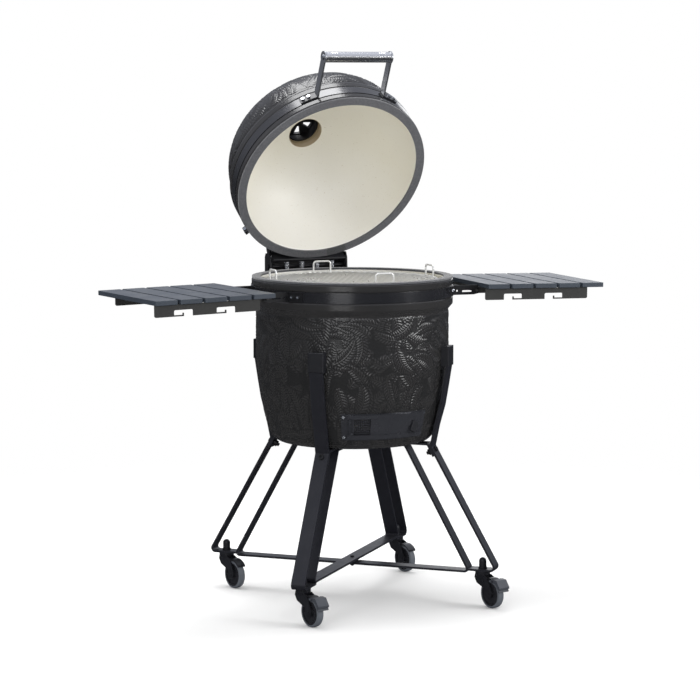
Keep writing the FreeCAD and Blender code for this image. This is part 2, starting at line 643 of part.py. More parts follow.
bracket_bolts = []
brackets = {-1: [], 1: []}
for side in (-1, 1):
    place = shelf_place(side)
    for w_at in BRACKETS[side]:
        local_w = w_at if side > 0 else -w_at
        hinge_at = place.multVec(Vector(-pin_u, local_w, -pin_drop))
        along = place.Rotation.multVec(Vector(-1, 0, 0))
        across = place.Rotation.multVec(Vector(0, 1, 0))
        across.z = 0
        along.z = 0
        along.normalize()
        root = hinge_at + along * 10
        while math.hypot(root.x, root.y) > R + 1.2:
            root = root + along * 0.5
        length = math.hypot(root.x - hinge_at.x, root.y - hinge_at.y)
        low, high = band_low + 1.5, band_top - 1.5
        drop = high - hinge_at.z
        plate = polygon([Vector(-9, 0, -8), Vector(-9, 0, 7), Vector(-3, 0, drop), Vector(length, 0, drop),
                         Vector(length, 0, low - hinge_at.z), Vector(8, 0, low - hinge_at.z)])
        plate = plate.extrude(Vector(0, 3, 0))
        plate.translate(Vector(0, -1.5, 0))
        slot = Part.makeBox(30, 10, 5, Vector(14, -5, -4))
        plate = plate.cut(slot.makeFillet(2.4, [e for e in slot.Edges if e.BoundBox.YLength > 5]))
        plate = plate.cut(Part.makeCylinder(3, 10, Vector(length - 12, -5, 0), Vector(0, 1, 0)))
        plate = plate.cut(Part.makeCylinder(mm("rod_rad") + 0.05, 10, Vector(0, -5, 0), Vector(0, 1, 0)))
        heading = math.degrees(math.atan2(along.y, along.x))
        plate.rotate(Vector(0, 0, 0), Vector(0, 0, 1), heading)
        plate.translate(hinge_at)
        at = math.degrees(math.atan2(root.y, root.x))
        forward = -1 if w_at < 0 else 1
        sweep = forward * side * 9.5
        start, end = sorted((at - sweep * 0.06, at + sweep))
        pad = sector(mm("band_out"), mm("band_out") + 3, low, high, start, end)
        bolts_here = []
        for part_way in (0.32, 0.75):
            spot = about_z(bolt(Vector(mm("band_out") + 3, 0, (low + high) / 2), Vector(1, 0, 0),
                                5, 3.5, 2.5, 5.4, 2.5), at + sweep * part_way)
            bolts_here.append(spot)
        body = fuse([plate, pad])
        for one in bolts_here:
            body = body.cut(one)
        brackets[side].append(body.Solids[0])
        bracket_bolts += bolts_here
feature("shelf_brackets_left", Part.Compound(brackets[-1]))
feature("shelf_brackets_right", Part.Compound(brackets[1]))

# ---------------------------------------------------------------- lid hinge
py, pz, pr = mm("pivot_y"), mm("pivot_z"), mm("pin_rad")
cx = mm("cheek_x")
side_view = [(286.5, 873), (286.5, 900), (298, 918), (300, 950), (308, 966), (336, 966),
             (342, 955), (342, 862), (330, 856), (296, 862)]
base_parts = []
for side in (-1, 1):
    cheek = polygon([Vector(side * cx - 2, y, z) for y, z in side_view]).extrude(Vector(4, 0, 0))
    base_parts.append(cheek)
base_parts.append(Part.makeBox(2 * cx, 3, 91, Vector(-cx, 339, 864)))
base_parts.append(Part.makeBox(2 * cx, 50, 4, Vector(-cx, 290, mm("ledge_z") - 4)))
flange = sector(mm("band_out"), mm("band_out") + 3, band_low + 1.5, band_top - 1.5, 63.5, 116.5)
base_parts.append(flange)
hinge_base = base_parts[0].multiFuse(base_parts[1:]).removeSplitter()
hinge_base = hinge_base.cut(Part.makeCylinder(pr, 2 * cx + 20, Vector(-cx - 10, py, pz), Vector(1, 0, 0)))
gusset = sector(mm("band_out") + 2, 300, 868, mm("ledge_z"), 66, 114)
hinge_base = hinge_base.fuse(gusset).removeSplitter()
hinge_base = hinge_base.cut(Part.makeCylinder(mm("band_out"), 60, Vector(0, 0, 850)))
hinge_base = hinge_base.cut(Part.makeCylinder(R + 0.3, 40, Vector(0, 0, band_low - 40)))
feature("hinge_base", hinge_base.Solids[0])
pin = Part.makeCylinder(pr, 2 * cx + 12, Vector(-cx - 6, py, pz), Vector(1, 0, 0))
for side in (-1, 1):
    head = Part.makeCylinder(9, 4, Vector(side * (cx + 2), py, pz), Vector(side, 0, 0))
    pin = pin.fuse(head)
feature("hinge_pin", pin.removeSplitter().Solids[0])

spring_x = [(-1.5 + index) * mm("spring_pitch") for index in range(4)]
spring_low, spring_high = mm("ledge_z") + 0.2, mm("bar_z") - 5.3
coils = []
guides = []
turns, coil_rad, coil_wire = 14.0, 6.5, 1.3
for x in spring_x:
    height = spring_high - spring_low - 2 * coil_wire
    helix = Part.makeHelix(height / turns, height, coil_rad)
    start = Part.Wire(Part.Circle(Vector(coil_rad, 0, 0), Vector(0, 1, 0), coil_wire).toShape())
    coil = Part.Wire(helix.Edges).makePipeShell([start], True, True)
    coil.translate(Vector(x, mm("spring_y"), spring_low + coil_wire))
    coils.append(coil)
    guides.append(bolt(Vector(x, mm("spring_y"), mm("ledge_z") - 4), Vector(0, 0, -1), 6, 4, 3.5, 34))
feature("hinge_springs", Part.Compound(coils))
feature("base_bolts", Part.Compound(bracket_bolts + clamp_bolts(band_low, CLAMPS) + guides))

# ---------------------------------------------------------------- lid, built closed and then opened
lid_base = rim + mm("felt")
lid_rim = lid_base + mm("felt")
ridge_a = lid_base + 26
band_b = ridge_a + mm("band_high")
ridge_c = band_b + mm("ridge_two")
dome_from = ridge_c + mm("shoulder")
crown = lid_base + mm("dome_high")


def dome_curve(radius_low, radius_top, low, high, power, steps=24):
    """Points of a rounded dome side from its foot to its crown."""
    points = []
    for step in range(steps + 1):
        angle = math.pi / 2 * step / steps
        r = radius_top + (radius_low - radius_top) * math.cos(angle) ** (2 / power)
        z = low + (high - low) * math.sin(angle) ** (2 / power)
        points.append((r, z))
    return points


outer_lid = [(M + 3, lid_rim), (R - edge, lid_rim), (R - 1.2, lid_rim + 1.2), (R, lid_rim + edge),
             (R, ridge_a - edge), (R - 1.2, ridge_a - 1), (R - 2.4, ridge_a), (G, ridge_a),
             (G, band_b), (R - 2.4, band_b), (R - 1.2, band_b + 1), (R, band_b + edge),
             (R, ridge_c - 3), (R - 1, ridge_c), (B + 1.5, dome_from - 1.5), (B, dome_from + 2)]
outer_dome = dome_curve(B, 62, dome_from + 2, crown, 2.12)
inner_dome = dome_curve(M, mm("flue_rad"), lid_rim + 10, crown - 34, 2.4)
lid = spin(chain(outer_lid) + [spline(outer_dome)]
           + chain([(62, crown), (mm("flue_rad"), crown), (mm("flue_rad"), crown - 34)])
           + [spline(inner_dome[::-1])]
           + chain([(M, lid_rim + 10), (M, lid_rim + 3), (M + 3, lid_rim)]))
feature("lid_dome", lid, LID)
turned("lid_gasket", [("mouth_rad + 1", "rim_top + felt + 0.2"), ("felt_rad", "rim_top + felt + 0.2"),
                      ("felt_rad", "rim_top + 2*felt"), ("mouth_rad + 1", "rim_top + 2*felt")], LID)
LID_CLAMPS = (45.0, 135.0)
ring, lugs = clamp_band(ridge_a, LID_CLAMPS)
feature("lid_band", Part.Compound([solid for solid in ring.multiFuse(lugs).Solids]), LID)

# hinge bracket: a curved flange on the band, two cheeks down to the pin and the spring bar
open_back = LID.inverse()
bar_at = open_back.multVec(Vector(0, mm("spring_y"), mm("bar_z")))
lx = cx - 2 - 0.6 - 4
b_low, b_high = ridge_a + 1.5, band_b - 1.5
flange = sector(mm("band_out"), mm("band_out") + 3, b_low, b_high, 64.5, 115.5)
cheeks = []
lid_view = [(275, b_low), (275, b_high), (288, b_high), (300, 957), (318, pz + 16), (330, pz + 6),
            (330, pz - 6), (324, pz - 13), (308, pz - 12), (bar_at.y - 3, bar_at.z - 3),
            (bar_at.y - 4, bar_at.z + 5), (291, 940), (287.5, b_low)]
for side in (-1, 1):
    x0 = side * (cx - 2 - 0.6 - 2) - 2
    cheek = polygon([Vector(x0, y, z) for y, z in lid_view]).extrude(Vector(4, 0, 0))
    cheeks.append(cheek)
bar = Part.makeCylinder(5, 2 * lx, Vector(-lx, bar_at.y, bar_at.z), Vector(1, 0, 0))
apron = Part.makeBox(2 * lx, 3, b_low + 2 - bar_at.z, Vector(-lx, R + 1.4, bar_at.z))
link = polygon([Vector(-lx, 285, b_low + 1), Vector(-lx, 288, b_low + 1), Vector(-lx, 288, b_high),
                Vector(-lx, 285, b_high)]).extrude(Vector(2 * lx, 0, 0))
lid_hinge = cheeks[0].multiFuse([cheeks[1], flange, bar, link, apron])
lid_hinge = lid_hinge.cut(Part.makeCylinder(mm("band_out"), 60, Vector(0, 0, ridge_a)))
lid_hinge = lid_hinge.cut(Part.makeCylinder(R + 0.4, 60, Vector(0, 0, ridge_a - 60)))
lid_hinge = lid_hinge.cut(Part.makeCylinder(pr + 0.05, 300, Vector(-150, py, pz), Vector(1, 0, 0)))
pieces = sorted(lid_hinge.Solids, key=lambda solid: -solid.Volume)
feature("lid_hinge_bracket", pieces[0], LID)

# handle: two flat arms with feet along the band, and the grip tube between them
ax, gy, gh, gr_tube = mm("arm_x"), -mm("grip_y"), mm("grip_z"), mm("grip_rad")
foot_mid = (ridge_a + band_b) / 2 - 1
for side, name in ((-1, "handle_arm_left"), (1, "handle_arm_right")):
    root_y = -math.sqrt((mm("band_out") + 1.5) ** 2 - ax ** 2)
    run = Vector(0, gy - root_y, gh - foot_mid)
    arm = Part.makeBox(5, run.Length, 24, Vector(side * ax - 2.5, 0, -12))
    arm = arm.fuse(Part.makeCylinder(17, 5, Vector(side * ax - 2.5, run.Length, 0), Vector(1, 0, 0)))
    arm.rotate(Vector(0, 0, 0), Vector(1, 0, 0), 180 - math.degrees(math.atan2(run.z, -run.y)))
    arm.translate(Vector(0, root_y, foot_mid))
    start = -90 + side * math.degrees(math.asin((ax - 2.5) / (mm("band_out") + 1.5)))
    end = -90 + side * math.degrees(math.asin(147 / (mm("band_out") + 1.5)))
    foot = sector(mm("band_out"), mm("band_out") + 4, foot_mid - 11, foot_mid + 11,
                  min(start, end), max(start, end))
    whole = arm.fuse(foot).removeSplitter()
    whole = whole.cut(Part.makeCylinder(mm("band_out"), 120, Vector(0, 0, ridge_a - 50)))
    for at in (124, 139):
        angle = -90 + side * math.degrees(math.asin(at / (mm("band_out") + 2)))
        whole = whole.cut(about_z(Part.makeCylinder(2.6, 30, Vector(G - 10, 0, foot_mid), Vector(1, 0, 0)), angle))
    whole = whole.cut(Part.makeCylinder(4.1, 30, Vector(side * ax - 15, gy, gh), Vector(1, 0, 0)))
    feature(name, sorted(whole.Solids, key=lambda solid: -solid.Volume)[0], LID)

grip_half = ax - 2.5
grip = Part.makeCylinder(gr_tube, 2 * grip_half, Vector(-grip_half, gy, gh), Vector(1, 0, 0))
grip = grip.cut(Part.makeCylinder(gr_tube - 2, 2 * grip_half - 8, Vector(-grip_half + 4, gy, gh), Vector(1, 0, 0)))
for side in (-1, 1):
    for index in range(4):
        x = side * (grip_half - 18 - index * 5.5)
        groove = Part.makeTorus(gr_tube + 0.4, 1.2, Vector(x, gy, gh), Vector(1, 0, 0))
        grip = grip.cut(groove)
feature("handle_grip", grip, LID)

lid_bolts = clamp_bolts(ridge_a, LID_CLAMPS)
for side in (-1, 1):
    for at in (124, 139):
        angle = -90 + side * math.degrees(math.asin(at / (mm("band_out") + 2)))
        lid_bolts.append(about_z(bolt(Vector(mm("band_out") + 4, 0, foot_mid), Vector(1, 0, 0),
                                      5, 5, 2.5, 6.4, 1.6), angle))
    lid_bolts.append(bolt(Vector(side * (ax + 2.5), gy, gh), Vector(side, 0, 0), 7, 3.5, 4, 9, 2.5))
    for degrees in (12, 22):
        lid_bolts.append(about_z(bolt(Vector(mm("band_out") + 3, 0, (b_low + b_high) / 2),
                                      Vector(1, 0, 0), 5, 3.5, 2.5, 5.4, 2.5), 90 - side * degrees))
feature("lid_bolts", Part.Compound(lid_bolts), LID)

# ---------------------------------------------------------------- top vent on the dome's crown
vent_top = crown + 20
vent = Part.makeCylinder(61, 6, Vector(0, 0, crown + 0.2))
vent = vent.fuse(Part.makeCone(60, 56, vent_top - crown - 5.8, Vector(0, 0, crown + 6)))
vent = vent.fuse(Part.makeCylinder(mm("flue_rad") - 1, 14, Vector(0, 0, crown - 6)))
vent = vent.fuse(Part.makeCylinder(9, vent_top - crown, Vector(0, 60, crown + 0.2)))
vent = vent.cut(Part.makeCylinder(mm("flue_rad") - 5, 100, Vector(0, 0, crown - 50)))
vent = vent.cut(Part.makeCylinder(3, 100, Vector(0, 60, crown - 50)))
feature("vent_base", vent.removeSplitter().Solids[0], LID)


def wedge_slots(count, near, far, wide, low, high):
    """Radial slots cut through a disc."""
    made = []
    for index in range(count):
        made.append(sector(near, far, low, high, index * 360 / count, index * 360 / count + wide))
    return Part.Compound(made)


plate_low = vent_top + 0.4
damper = Part.makeCylinder(58, 6, Vector(0, 0, plate_low))
damper = damper.fuse(Part.makeCylinder(11, 6, Vector(0, 60, plate_low)))
damper = damper.cut(wedge_slots(5, 14, 42, 30, plate_low - 1, plate_low + 7))
damper = damper.cut(Part.makeCylinder(5.05, 20, Vector(0, 60, plate_low - 5)))
damper = damper.fuse(Part.makeCylinder(4, 16, Vector(0, 0, plate_low))).removeSplitter()
feature("vent_damper", damper.Solids[0], LID)
wheel_low = plate_low + 6.3
daisy = Part.makeCylinder(49, 4, Vector(0, 0, wheel_low))
daisy = daisy.cut(wedge_slots(5, 14, 42, 30, wheel_low - 1, wheel_low + 5))
daisy = daisy.fuse(Part.makeCylinder(6, 12, Vector(30 * math.cos(math.radians(123)),
                                                 30 * math.sin(math.radians(123)), wheel_low)))
daisy = daisy.cut(Part.makeCylinder(4.05, 20, Vector(0, 0, wheel_low - 5)))
daisy = about_z(daisy.removeSplitter().Solids[0], 26)
feature("daisy_wheel", daisy, LID)
cap_nut = Part.makeCylinder(8, 5, Vector(0, 0, wheel_low + 4.3)).cut(
    Part.makeCylinder(4, 20, Vector(0, 0, wheel_low - 5)))
feature("daisy_nut", cap_nut, LID)
screw = bolt(Vector(0, 60, plate_low + 6.3), Vector(0, 0, 1), 9, 4, 5, plate_low + 6.3 - vent_top, 2.5)
screw = screw.fuse(Part.makeCylinder(3, 20, Vector(0, 60, vent_top - 19.8))).removeSplitter()
feature("vent_screw", screw.Solids[0], LID)

# ---------------------------------------------------------------- casters
trail, tyre_r, tyre_w, axle_r = mm("trail"), mm("wheel_rad"), mm("wheel_wide"), mm("axle_rad")
head_top = fz - t / 2
half_w = tyre_w / 2
pedal_x, pedal_z = trail + 20, tyre_r + 39.8
CASTERS = {"front_left": 225, "front_right": 315, "back_left": 135, "back_right": 45}


def caster_place(angle):
    """Local +X is the way the wheel trails and local Y is its axle."""
    a = math.radians(angle)
    return Placement(Vector(stem * math.cos(a), stem * math.sin(a), 0),
                     Rotation(Vector(0, 0, 1), -90 + mm("swing")))


def caster_fork(braked):
    """Swivel head, side plates, hood, stem and riveted axle, with pivots for a pedal if braked."""
    parts = [Part.makeCylinder(21, 9, Vector(0, 0, head_top - 9)),
             Part.makeCone(17, 21, 7, Vector(0, 0, head_top - 16))]
    for side in (-1, 1):
        y = side * (half_w + 3)
        plate = polygon(path((-17, 90), (-19, 80), (-10, 66), (trail - 16, 52), (trail - 12, 33),
                             (trail, 27), (trail + 11, 33), (trail + 13, 45), (trail + 6, 62),
                             (36, 84), (20, 91))).extrude(Vector(0, 2.5, 0))
        plate.translate(Vector(0, y - 1.25, 0))
        parts.append(plate)
    hood = Part.makeCylinder(tyre_r + 6, 2 * half_w + 6, Vector(trail, -half_w - 3, tyre_r), Vector(0, 1, 0))
    hood = hood.cut(Part.makeCylinder(tyre_r + 3, 2 * half_w + 6, Vector(trail, -half_w - 3, tyre_r),
                                      Vector(0, 1, 0)))
    keep_box = polygon(path((trail - 52, tyre_r + 34), (trail - 52, 110), (trail + 34, 110),
                            (trail + 34, tyre_r + 22), (trail + 8, tyre_r + 22)))
    keep_box = keep_box.extrude(Vector(0, 60, 0))
    keep_box.translate(Vector(0, -30, 0))
    hood = hood.common(keep_box)
    parts.append(hood)
    for side in (-1, 1) if braked else ():
        parts.append(Part.makeCylinder(2.5, 7.5, Vector(pedal_x, side * (half_w + 1), pedal_z),
                                       Vector(0, side, 0)))
    parts.append(Part.makeCylinder(6, 30, Vector(0, 0, head_top - 6)))
    parts.append(Part.makeCylinder(axle_r, 2 * half_w + 12, Vector(trail, -half_w - 6, tyre_r), Vector(0, 1, 0)))
    return fuse(parts)


def caster_wheel():
    """Core with a hub and dished cheeks."""
    y0 = -half_w + 1
    core = Part.makeCylinder(tyre_r - 6, tyre_w - 2, Vector(trail, y0, tyre_r), Vector(0, 1, 0))
    for y in (y0 - 0.01, half_w - 3.99):
        dish = Part.makeCylinder(tyre_r - 10, 3, Vector(trail, y, tyre_r), Vector(0, 1, 0))
        dish = dish.cut(Part.makeCylinder(11, 3, Vector(trail, y, tyre_r), Vector(0, 1, 0)))
        core = core.cut(dish)
    return core.cut(Part.makeCylinder(axle_r + 0.05, 60, Vector(trail, -30, tyre_r), Vector(0, 1, 0)))


def caster_tyre():
    """Ring round the core with rounded edges."""
    ring_shape = Part.makeCylinder(tyre_r, tyre_w, Vector(trail, -half_w, tyre_r), Vector(0, 1, 0))
    ring_shape = ring_shape.makeFillet(4, [e for e in ring_shape.Edges if e.Length > 100 and e.Closed])
    return ring_shape.cut(Part.makeCylinder(tyre_r - 6, tyre_w, Vector(trail, -half_w, tyre_r), Vector(0, 1, 0)))


def brake_pedal():
    """Foot pedal that wraps down behind the wheel, on two ears outside the hood."""
    side_shape = [(22, 86), (38, 85), (52, 66), (52, 61), (47, 60), (51, 54), (47, 52), (43, 62),
                  (38, 70), (30, 78), (22, 82.5)]
    blade = polygon(path(*[(trail + x, z) for x, z in side_shape])).extrude(Vector(0, 36, 0))
    blade.translate(Vector(0, -18, 0))
    notch = Part.makeCylinder(tyre_r + 6.8, 2 * half_w + 9, Vector(trail, -half_w - 4.5, tyre_r), Vector(0, 1, 0))
    pieces = [blade.cut(notch)]
    for side in (-1, 1):
        ear = polygon(path((pedal_x - 6, pedal_z + 5), (pedal_x - 6, pedal_z - 5), (pedal_x + 6, pedal_z - 5),
                           (pedal_x + 14, pedal_z - 4), (pedal_x + 16, pedal_z + 5))).extrude(Vector(0, 2.5, 0))
        ear.translate(Vector(0, side * (half_w + 6.3) - 1.25, 0))
        pieces.append(ear)
    pedal = fuse(pieces)
    return pedal.cut(Part.makeCylinder(2.55, 60, Vector(pedal_x, -30, pedal_z), Vector(0, 1, 0)))


caps = []
for name, angle in CASTERS.items():
    place = caster_place(angle)
    feature("caster_fork_" + name, caster_fork(name.startswith("front")), place)
    feature("caster_wheel_" + name, caster_wheel(), place)
    feature("caster_tyre_" + name, caster_tyre(), place)
    if name.startswith("front"):
        feature("brake_pedal_" + name, brake_pedal(), place)
    low = fz + t / 2
    cap_shape = Part.makeCylinder(10.5, 21, Vector(0, 0, low + 0.2)).fuse(
        Part.makeSphere(10.5, Vector(0, 0, low + 21.2)))
    cap_shape = cap_shape.fuse(Part.makeCylinder(12.5, 4, Vector(0, 0, low + 0.2)))
    cap_shape = cap_shape.cut(Part.makeCylinder(6.05, 25, Vector(0, 0, low - 1))).removeSplitter()
    cap_shape.translate(place.Base)
    caps.append(cap_shape.Solids[0])
feature("stem_caps", Part.Compound(caps))

# ---------------------------------------------------------------- checks and export
doc.recompute()
for item in doc.Objects:
    if "Invalid" in item.State or "Error" in item.State:
        raise RuntimeError("%s failed to rebuild" % item.Name)
os.makedirs("parts", exist_ok=True)
for item in SUBPARTS:
    shape = item.Shape
    if shape.isNull() or not shape.isValid() or not shape.Solids:
        raise RuntimeError("%s has no valid solid" % item.Label)
    if min(solid.Volume for solid in shape.Solids) <= 0:
        raise RuntimeError("%s has an inside-out solid" % item.Label)
    shape.exportStep(os.path.join("parts", item.Label + ".step"))
print("%d sub-parts written" % len(SUBPARTS))
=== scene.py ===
"""Finishes, glaze relief, light and camera of a ceramic kamado grill, in metres.

Frame: +Z up, floor at Z = 0, the pot's axis on X = Y = 0, the draft door faces -Y and the
lid's hinge is at +Y. The lid is stored open: its pieces are worked out closed and then
turned about the hinge, which is read from the frame.
"""
from __future__ import annotations

import json
import logging
import math
from dataclasses import dataclass, field
from enum import Enum

import bpy
import numpy as np
from mathutils import Euler, Matrix, Vector

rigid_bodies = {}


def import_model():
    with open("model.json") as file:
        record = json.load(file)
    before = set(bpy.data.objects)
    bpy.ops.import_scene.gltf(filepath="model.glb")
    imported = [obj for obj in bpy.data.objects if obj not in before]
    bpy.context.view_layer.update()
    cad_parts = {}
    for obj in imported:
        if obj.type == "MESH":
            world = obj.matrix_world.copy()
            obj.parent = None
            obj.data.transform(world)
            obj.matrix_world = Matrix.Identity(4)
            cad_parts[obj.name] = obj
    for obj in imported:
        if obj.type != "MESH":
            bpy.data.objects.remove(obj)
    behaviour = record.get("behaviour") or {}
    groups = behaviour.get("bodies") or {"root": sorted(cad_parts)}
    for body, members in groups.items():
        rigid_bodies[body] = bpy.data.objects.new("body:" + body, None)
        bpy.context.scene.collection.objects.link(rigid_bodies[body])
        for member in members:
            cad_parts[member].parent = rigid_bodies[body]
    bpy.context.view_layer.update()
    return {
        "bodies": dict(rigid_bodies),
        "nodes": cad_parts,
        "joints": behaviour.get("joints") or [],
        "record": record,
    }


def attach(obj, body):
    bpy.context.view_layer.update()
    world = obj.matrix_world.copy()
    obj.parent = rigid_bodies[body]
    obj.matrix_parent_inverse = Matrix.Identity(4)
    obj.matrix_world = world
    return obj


logging.basicConfig(level=logging.INFO, format="%(message)s")
LOG = logging.getLogger("kamado")

Colour = tuple[float, float, float]
Place = tuple[float, float, float]
Grid = np.ndarray

EVEN = (1.0, 1.0, 1.0)
WHITE = (1.0, 1.0, 1.0, 1.0)


# ------------------------------------------------------------------ node helpers
class Tree:
    """A node tree with short calls for adding and joining nodes."""

    def __init__(self, tree: bpy.types.NodeTree) -> None:
        """Wraps a tree and empties it.

        Args:
            tree: the material's or group's node tree.
        """
        self.tree = tree
        tree.nodes.clear()

    def add(self, kind: str, inputs: dict | None = None, **settings) -> bpy.types.Node:
        """Adds a node, sets its options, and fills or joins its inputs.

        Args:
            kind: the node's type without the word ShaderNode.
            inputs: input name or number to a value or to another node's output.
            settings: the node's own options.

        Returns:
            The new node.
        """
        name = kind if kind.startswith("Node") else "ShaderNode" + kind
        node = self.tree.nodes.new(name)
        for option, value in settings.items():
            setattr(node, option, value)
        for key, value in (inputs or {}).items():
            socket = node.inputs[key]
            if isinstance(value, bpy.types.NodeSocket):
                self.tree.links.new(value, socket)
            else:
                socket.default_value = value
        return node

    def math(self, operation: str, a, b=0.0, clamp: bool = False) -> bpy.types.NodeSocket:
        """One arithmetic step.

        Args:
            operation: the Math node's operation.
            a: first number or output.
            b: second number or output.
            clamp: keep the result between 0 and 1.

        Returns:
            The result's output socket.
        """
        node = self.add("Math", {0: a, 1: b}, operation=operation, use_clamp=clamp)
        return node.outputs[0]

    def blend(self, factor, a, b) -> bpy.types.NodeSocket:
        """Mixes two colours.

        Args:
            factor: share of the second colour.
            a: first colour or output.
            b: second colour or output.

        Returns:
            The mixed colour's output socket.
        """
        four = [c if isinstance(c, bpy.types.NodeSocket) else (*c, 1.0) for c in (a, b)]
        node = self.add("MixRGB", {0: factor, 1: four[0], 2: four[1]})
        return node.outputs[0]

    def lerp(self, factor, a: float, b: float) -> bpy.types.NodeSocket:
        """A number that runs from a to b as the factor runs from 0 to 1."""
        node = self.add("MapRange", {"Value": factor, "To Min": a, "To Max": b})
        return node.outputs[0]

    def fade(self, value, start: float, end: float) -> bpy.types.NodeSocket:
        """A mask that runs from 0 at the start value to 1 at the end value."""
        node = self.add("MapRange", {"Value": value, "From Min": start, "From Max": end})
        return node.outputs[0]

    def from_axis(self, axes: bpy.types.Node) -> bpy.types.NodeSocket:
        """How far a point is from the Z axis.

        Args:
            axes: the node that separates the point's coordinates.

        Returns:
            The distance's output socket.
        """
        squares = [self.math("POWER", axes.outputs[label], 2.0) for label in ("X", "Y")]
        return self.math("SQRT", self.math("ADD", *squares))


def new_group(name: str, takes: dict[str, str],
              gives: dict[str, str]) -> tuple[Tree, dict, dict]:
    """A shared effect's empty node group.

    Args:
        name: the group's name.
        takes: input names with their socket kinds.
        gives: output names with their socket kinds.

    Returns:
        The tree, its input sockets by name and its output sockets by name.
    """
    group = bpy.data.node_groups.new(name, "ShaderNodeTree")
    for way, sockets in (("INPUT", takes), ("OUTPUT", gives)):
        for label, kind in sockets.items():
            group.interface.new_socket(name=label, in_out=way, socket_type="NodeSocket" + kind)
    tree = Tree(group)
    start = tree.add("NodeGroupInput")
    end = tree.add("NodeGroupOutput")
    return tree, {k: start.outputs[k] for k in takes}, {k: end.inputs[k] for k in gives}


class Effects:
    """The effects that several finishes share, each a node group built once."""

    def __init__(self) -> None:
        """Builds every group."""
        self.grain = self.build_grain()
        self.dust = self.build_dust()
        self.inside = self.build_inside()

    def build_grain(self) -> bpy.types.NodeTree:
        """Fine and broad noise over stretched coordinates.

        Returns:
            A group that puts out Fine and Broad, both 0 to 1.
        """
        tree, take, give = new_group(
            "surface_grain", {"Vector": "Vector", "Stretch": "Vector", "Scale": "Float"},
            {"Fine": "Float", "Broad": "Float"})
        placed = tree.add("VectorMath", {0: take["Vector"], 1: take["Stretch"]},
                          operation="MULTIPLY")
        fine = tree.add("TexNoise", {"Vector": placed.outputs[0], "Scale": take["Scale"],
                                     "Detail": 3.0, "Roughness": 0.55})
        slow = tree.math("MULTIPLY", take["Scale"], 0.03)
        broad = tree.add("TexNoise", {"Vector": take["Vector"], "Scale": slow, "Detail": 4.0})
        tree.tree.links.new(fine.outputs["Fac"], give["Fine"])
        tree.tree.links.new(broad.outputs["Fac"], give["Broad"])
        return tree.tree

    def build_dust(self) -> bpy.types.NodeTree:
        """Pale dust that lies on faces turned upwards, broken up by noise.

        Returns:
            A group that puts out Mask, 0 to the given amount.
        """
        tree, take, give = new_group("settled_dust", {"Vector": "Vector", "Amount": "Float"},
                                     {"Mask": "Float"})
        facing = tree.add("SeparateXYZ", {0: tree.add("NewGeometry").outputs["Normal"]})
        upward = tree.math("POWER", tree.math("MAXIMUM", facing.outputs["Z"], 0.0), 2.0)
        noise = tree.add("TexNoise", {"Vector": take["Vector"], "Scale": 18.0, "Detail": 6.0})
        patchy = tree.fade(noise.outputs["Fac"], 0.35, 0.75)
        mask = tree.math("MULTIPLY", tree.math("MULTIPLY", upward, patchy), take["Amount"])
        tree.tree.links.new(mask, give["Mask"])
        return tree.tree

    def build_inside(self) -> bpy.types.NodeTree:
        """Which side of the middle of a ceramic wall a point is on.

        The middle of the wall is upright up to Base and then closes like a superellipse:
        ((radius - Core) / (Radius - Core)) ** Power + (height above Base / Rise) ** Power = 1.

        Returns:
            A group that puts out Inside, 1 on the inner glaze and 0 on the outer, and Reach,
            the distance from the axis.
        """
        tree, take, give = new_group(
            "inner_glaze", {"Vector": "Vector", "Core": "Float", "Radius": "Float",
                            "Base": "Float", "Rise": "Float", "Power": "Float"},
            {"Inside": "Float", "Reach": "Float"})
        axes = tree.add("SeparateXYZ", {0: take["Vector"]})
        reach = tree.from_axis(axes)
        beyond = tree.math("MAXIMUM", tree.math("SUBTRACT", reach, take["Core"]), 0.0)
        width = tree.math("SUBTRACT", take["Radius"], take["Core"])
        across = tree.math("POWER", tree.math("DIVIDE", beyond, width), take["Power"])
        above = tree.math("MAXIMUM", tree.math("SUBTRACT", axes.outputs["Z"], take["Base"]), 0.0)
        along = tree.math("POWER", tree.math("DIVIDE", above, take["Rise"]), take["Power"])
        total = tree.math("ADD", across, along)
        tree.tree.links.new(tree.fade(total, 1.004, 0.996), give["Inside"])
        tree.tree.links.new(reach, give["Reach"])
        return tree.tree

    def grain_on(self, tree: Tree, place: bpy.types.NodeSocket, scale: float,
                 stretch: Place = EVEN) -> bpy.types.Node:
        """Places the grain in a material.

        Args:
            tree: the material's tree.
            place: its object coordinates.
            scale: the fine noise's scale.
            stretch: how much closer the grain lies along each axis.

        Returns:
            The group node, with its Fine and Broad outputs.
        """
        return tree.add("Group", {"Vector": place, "Stretch": stretch, "Scale": scale},
                        node_tree=self.grain)


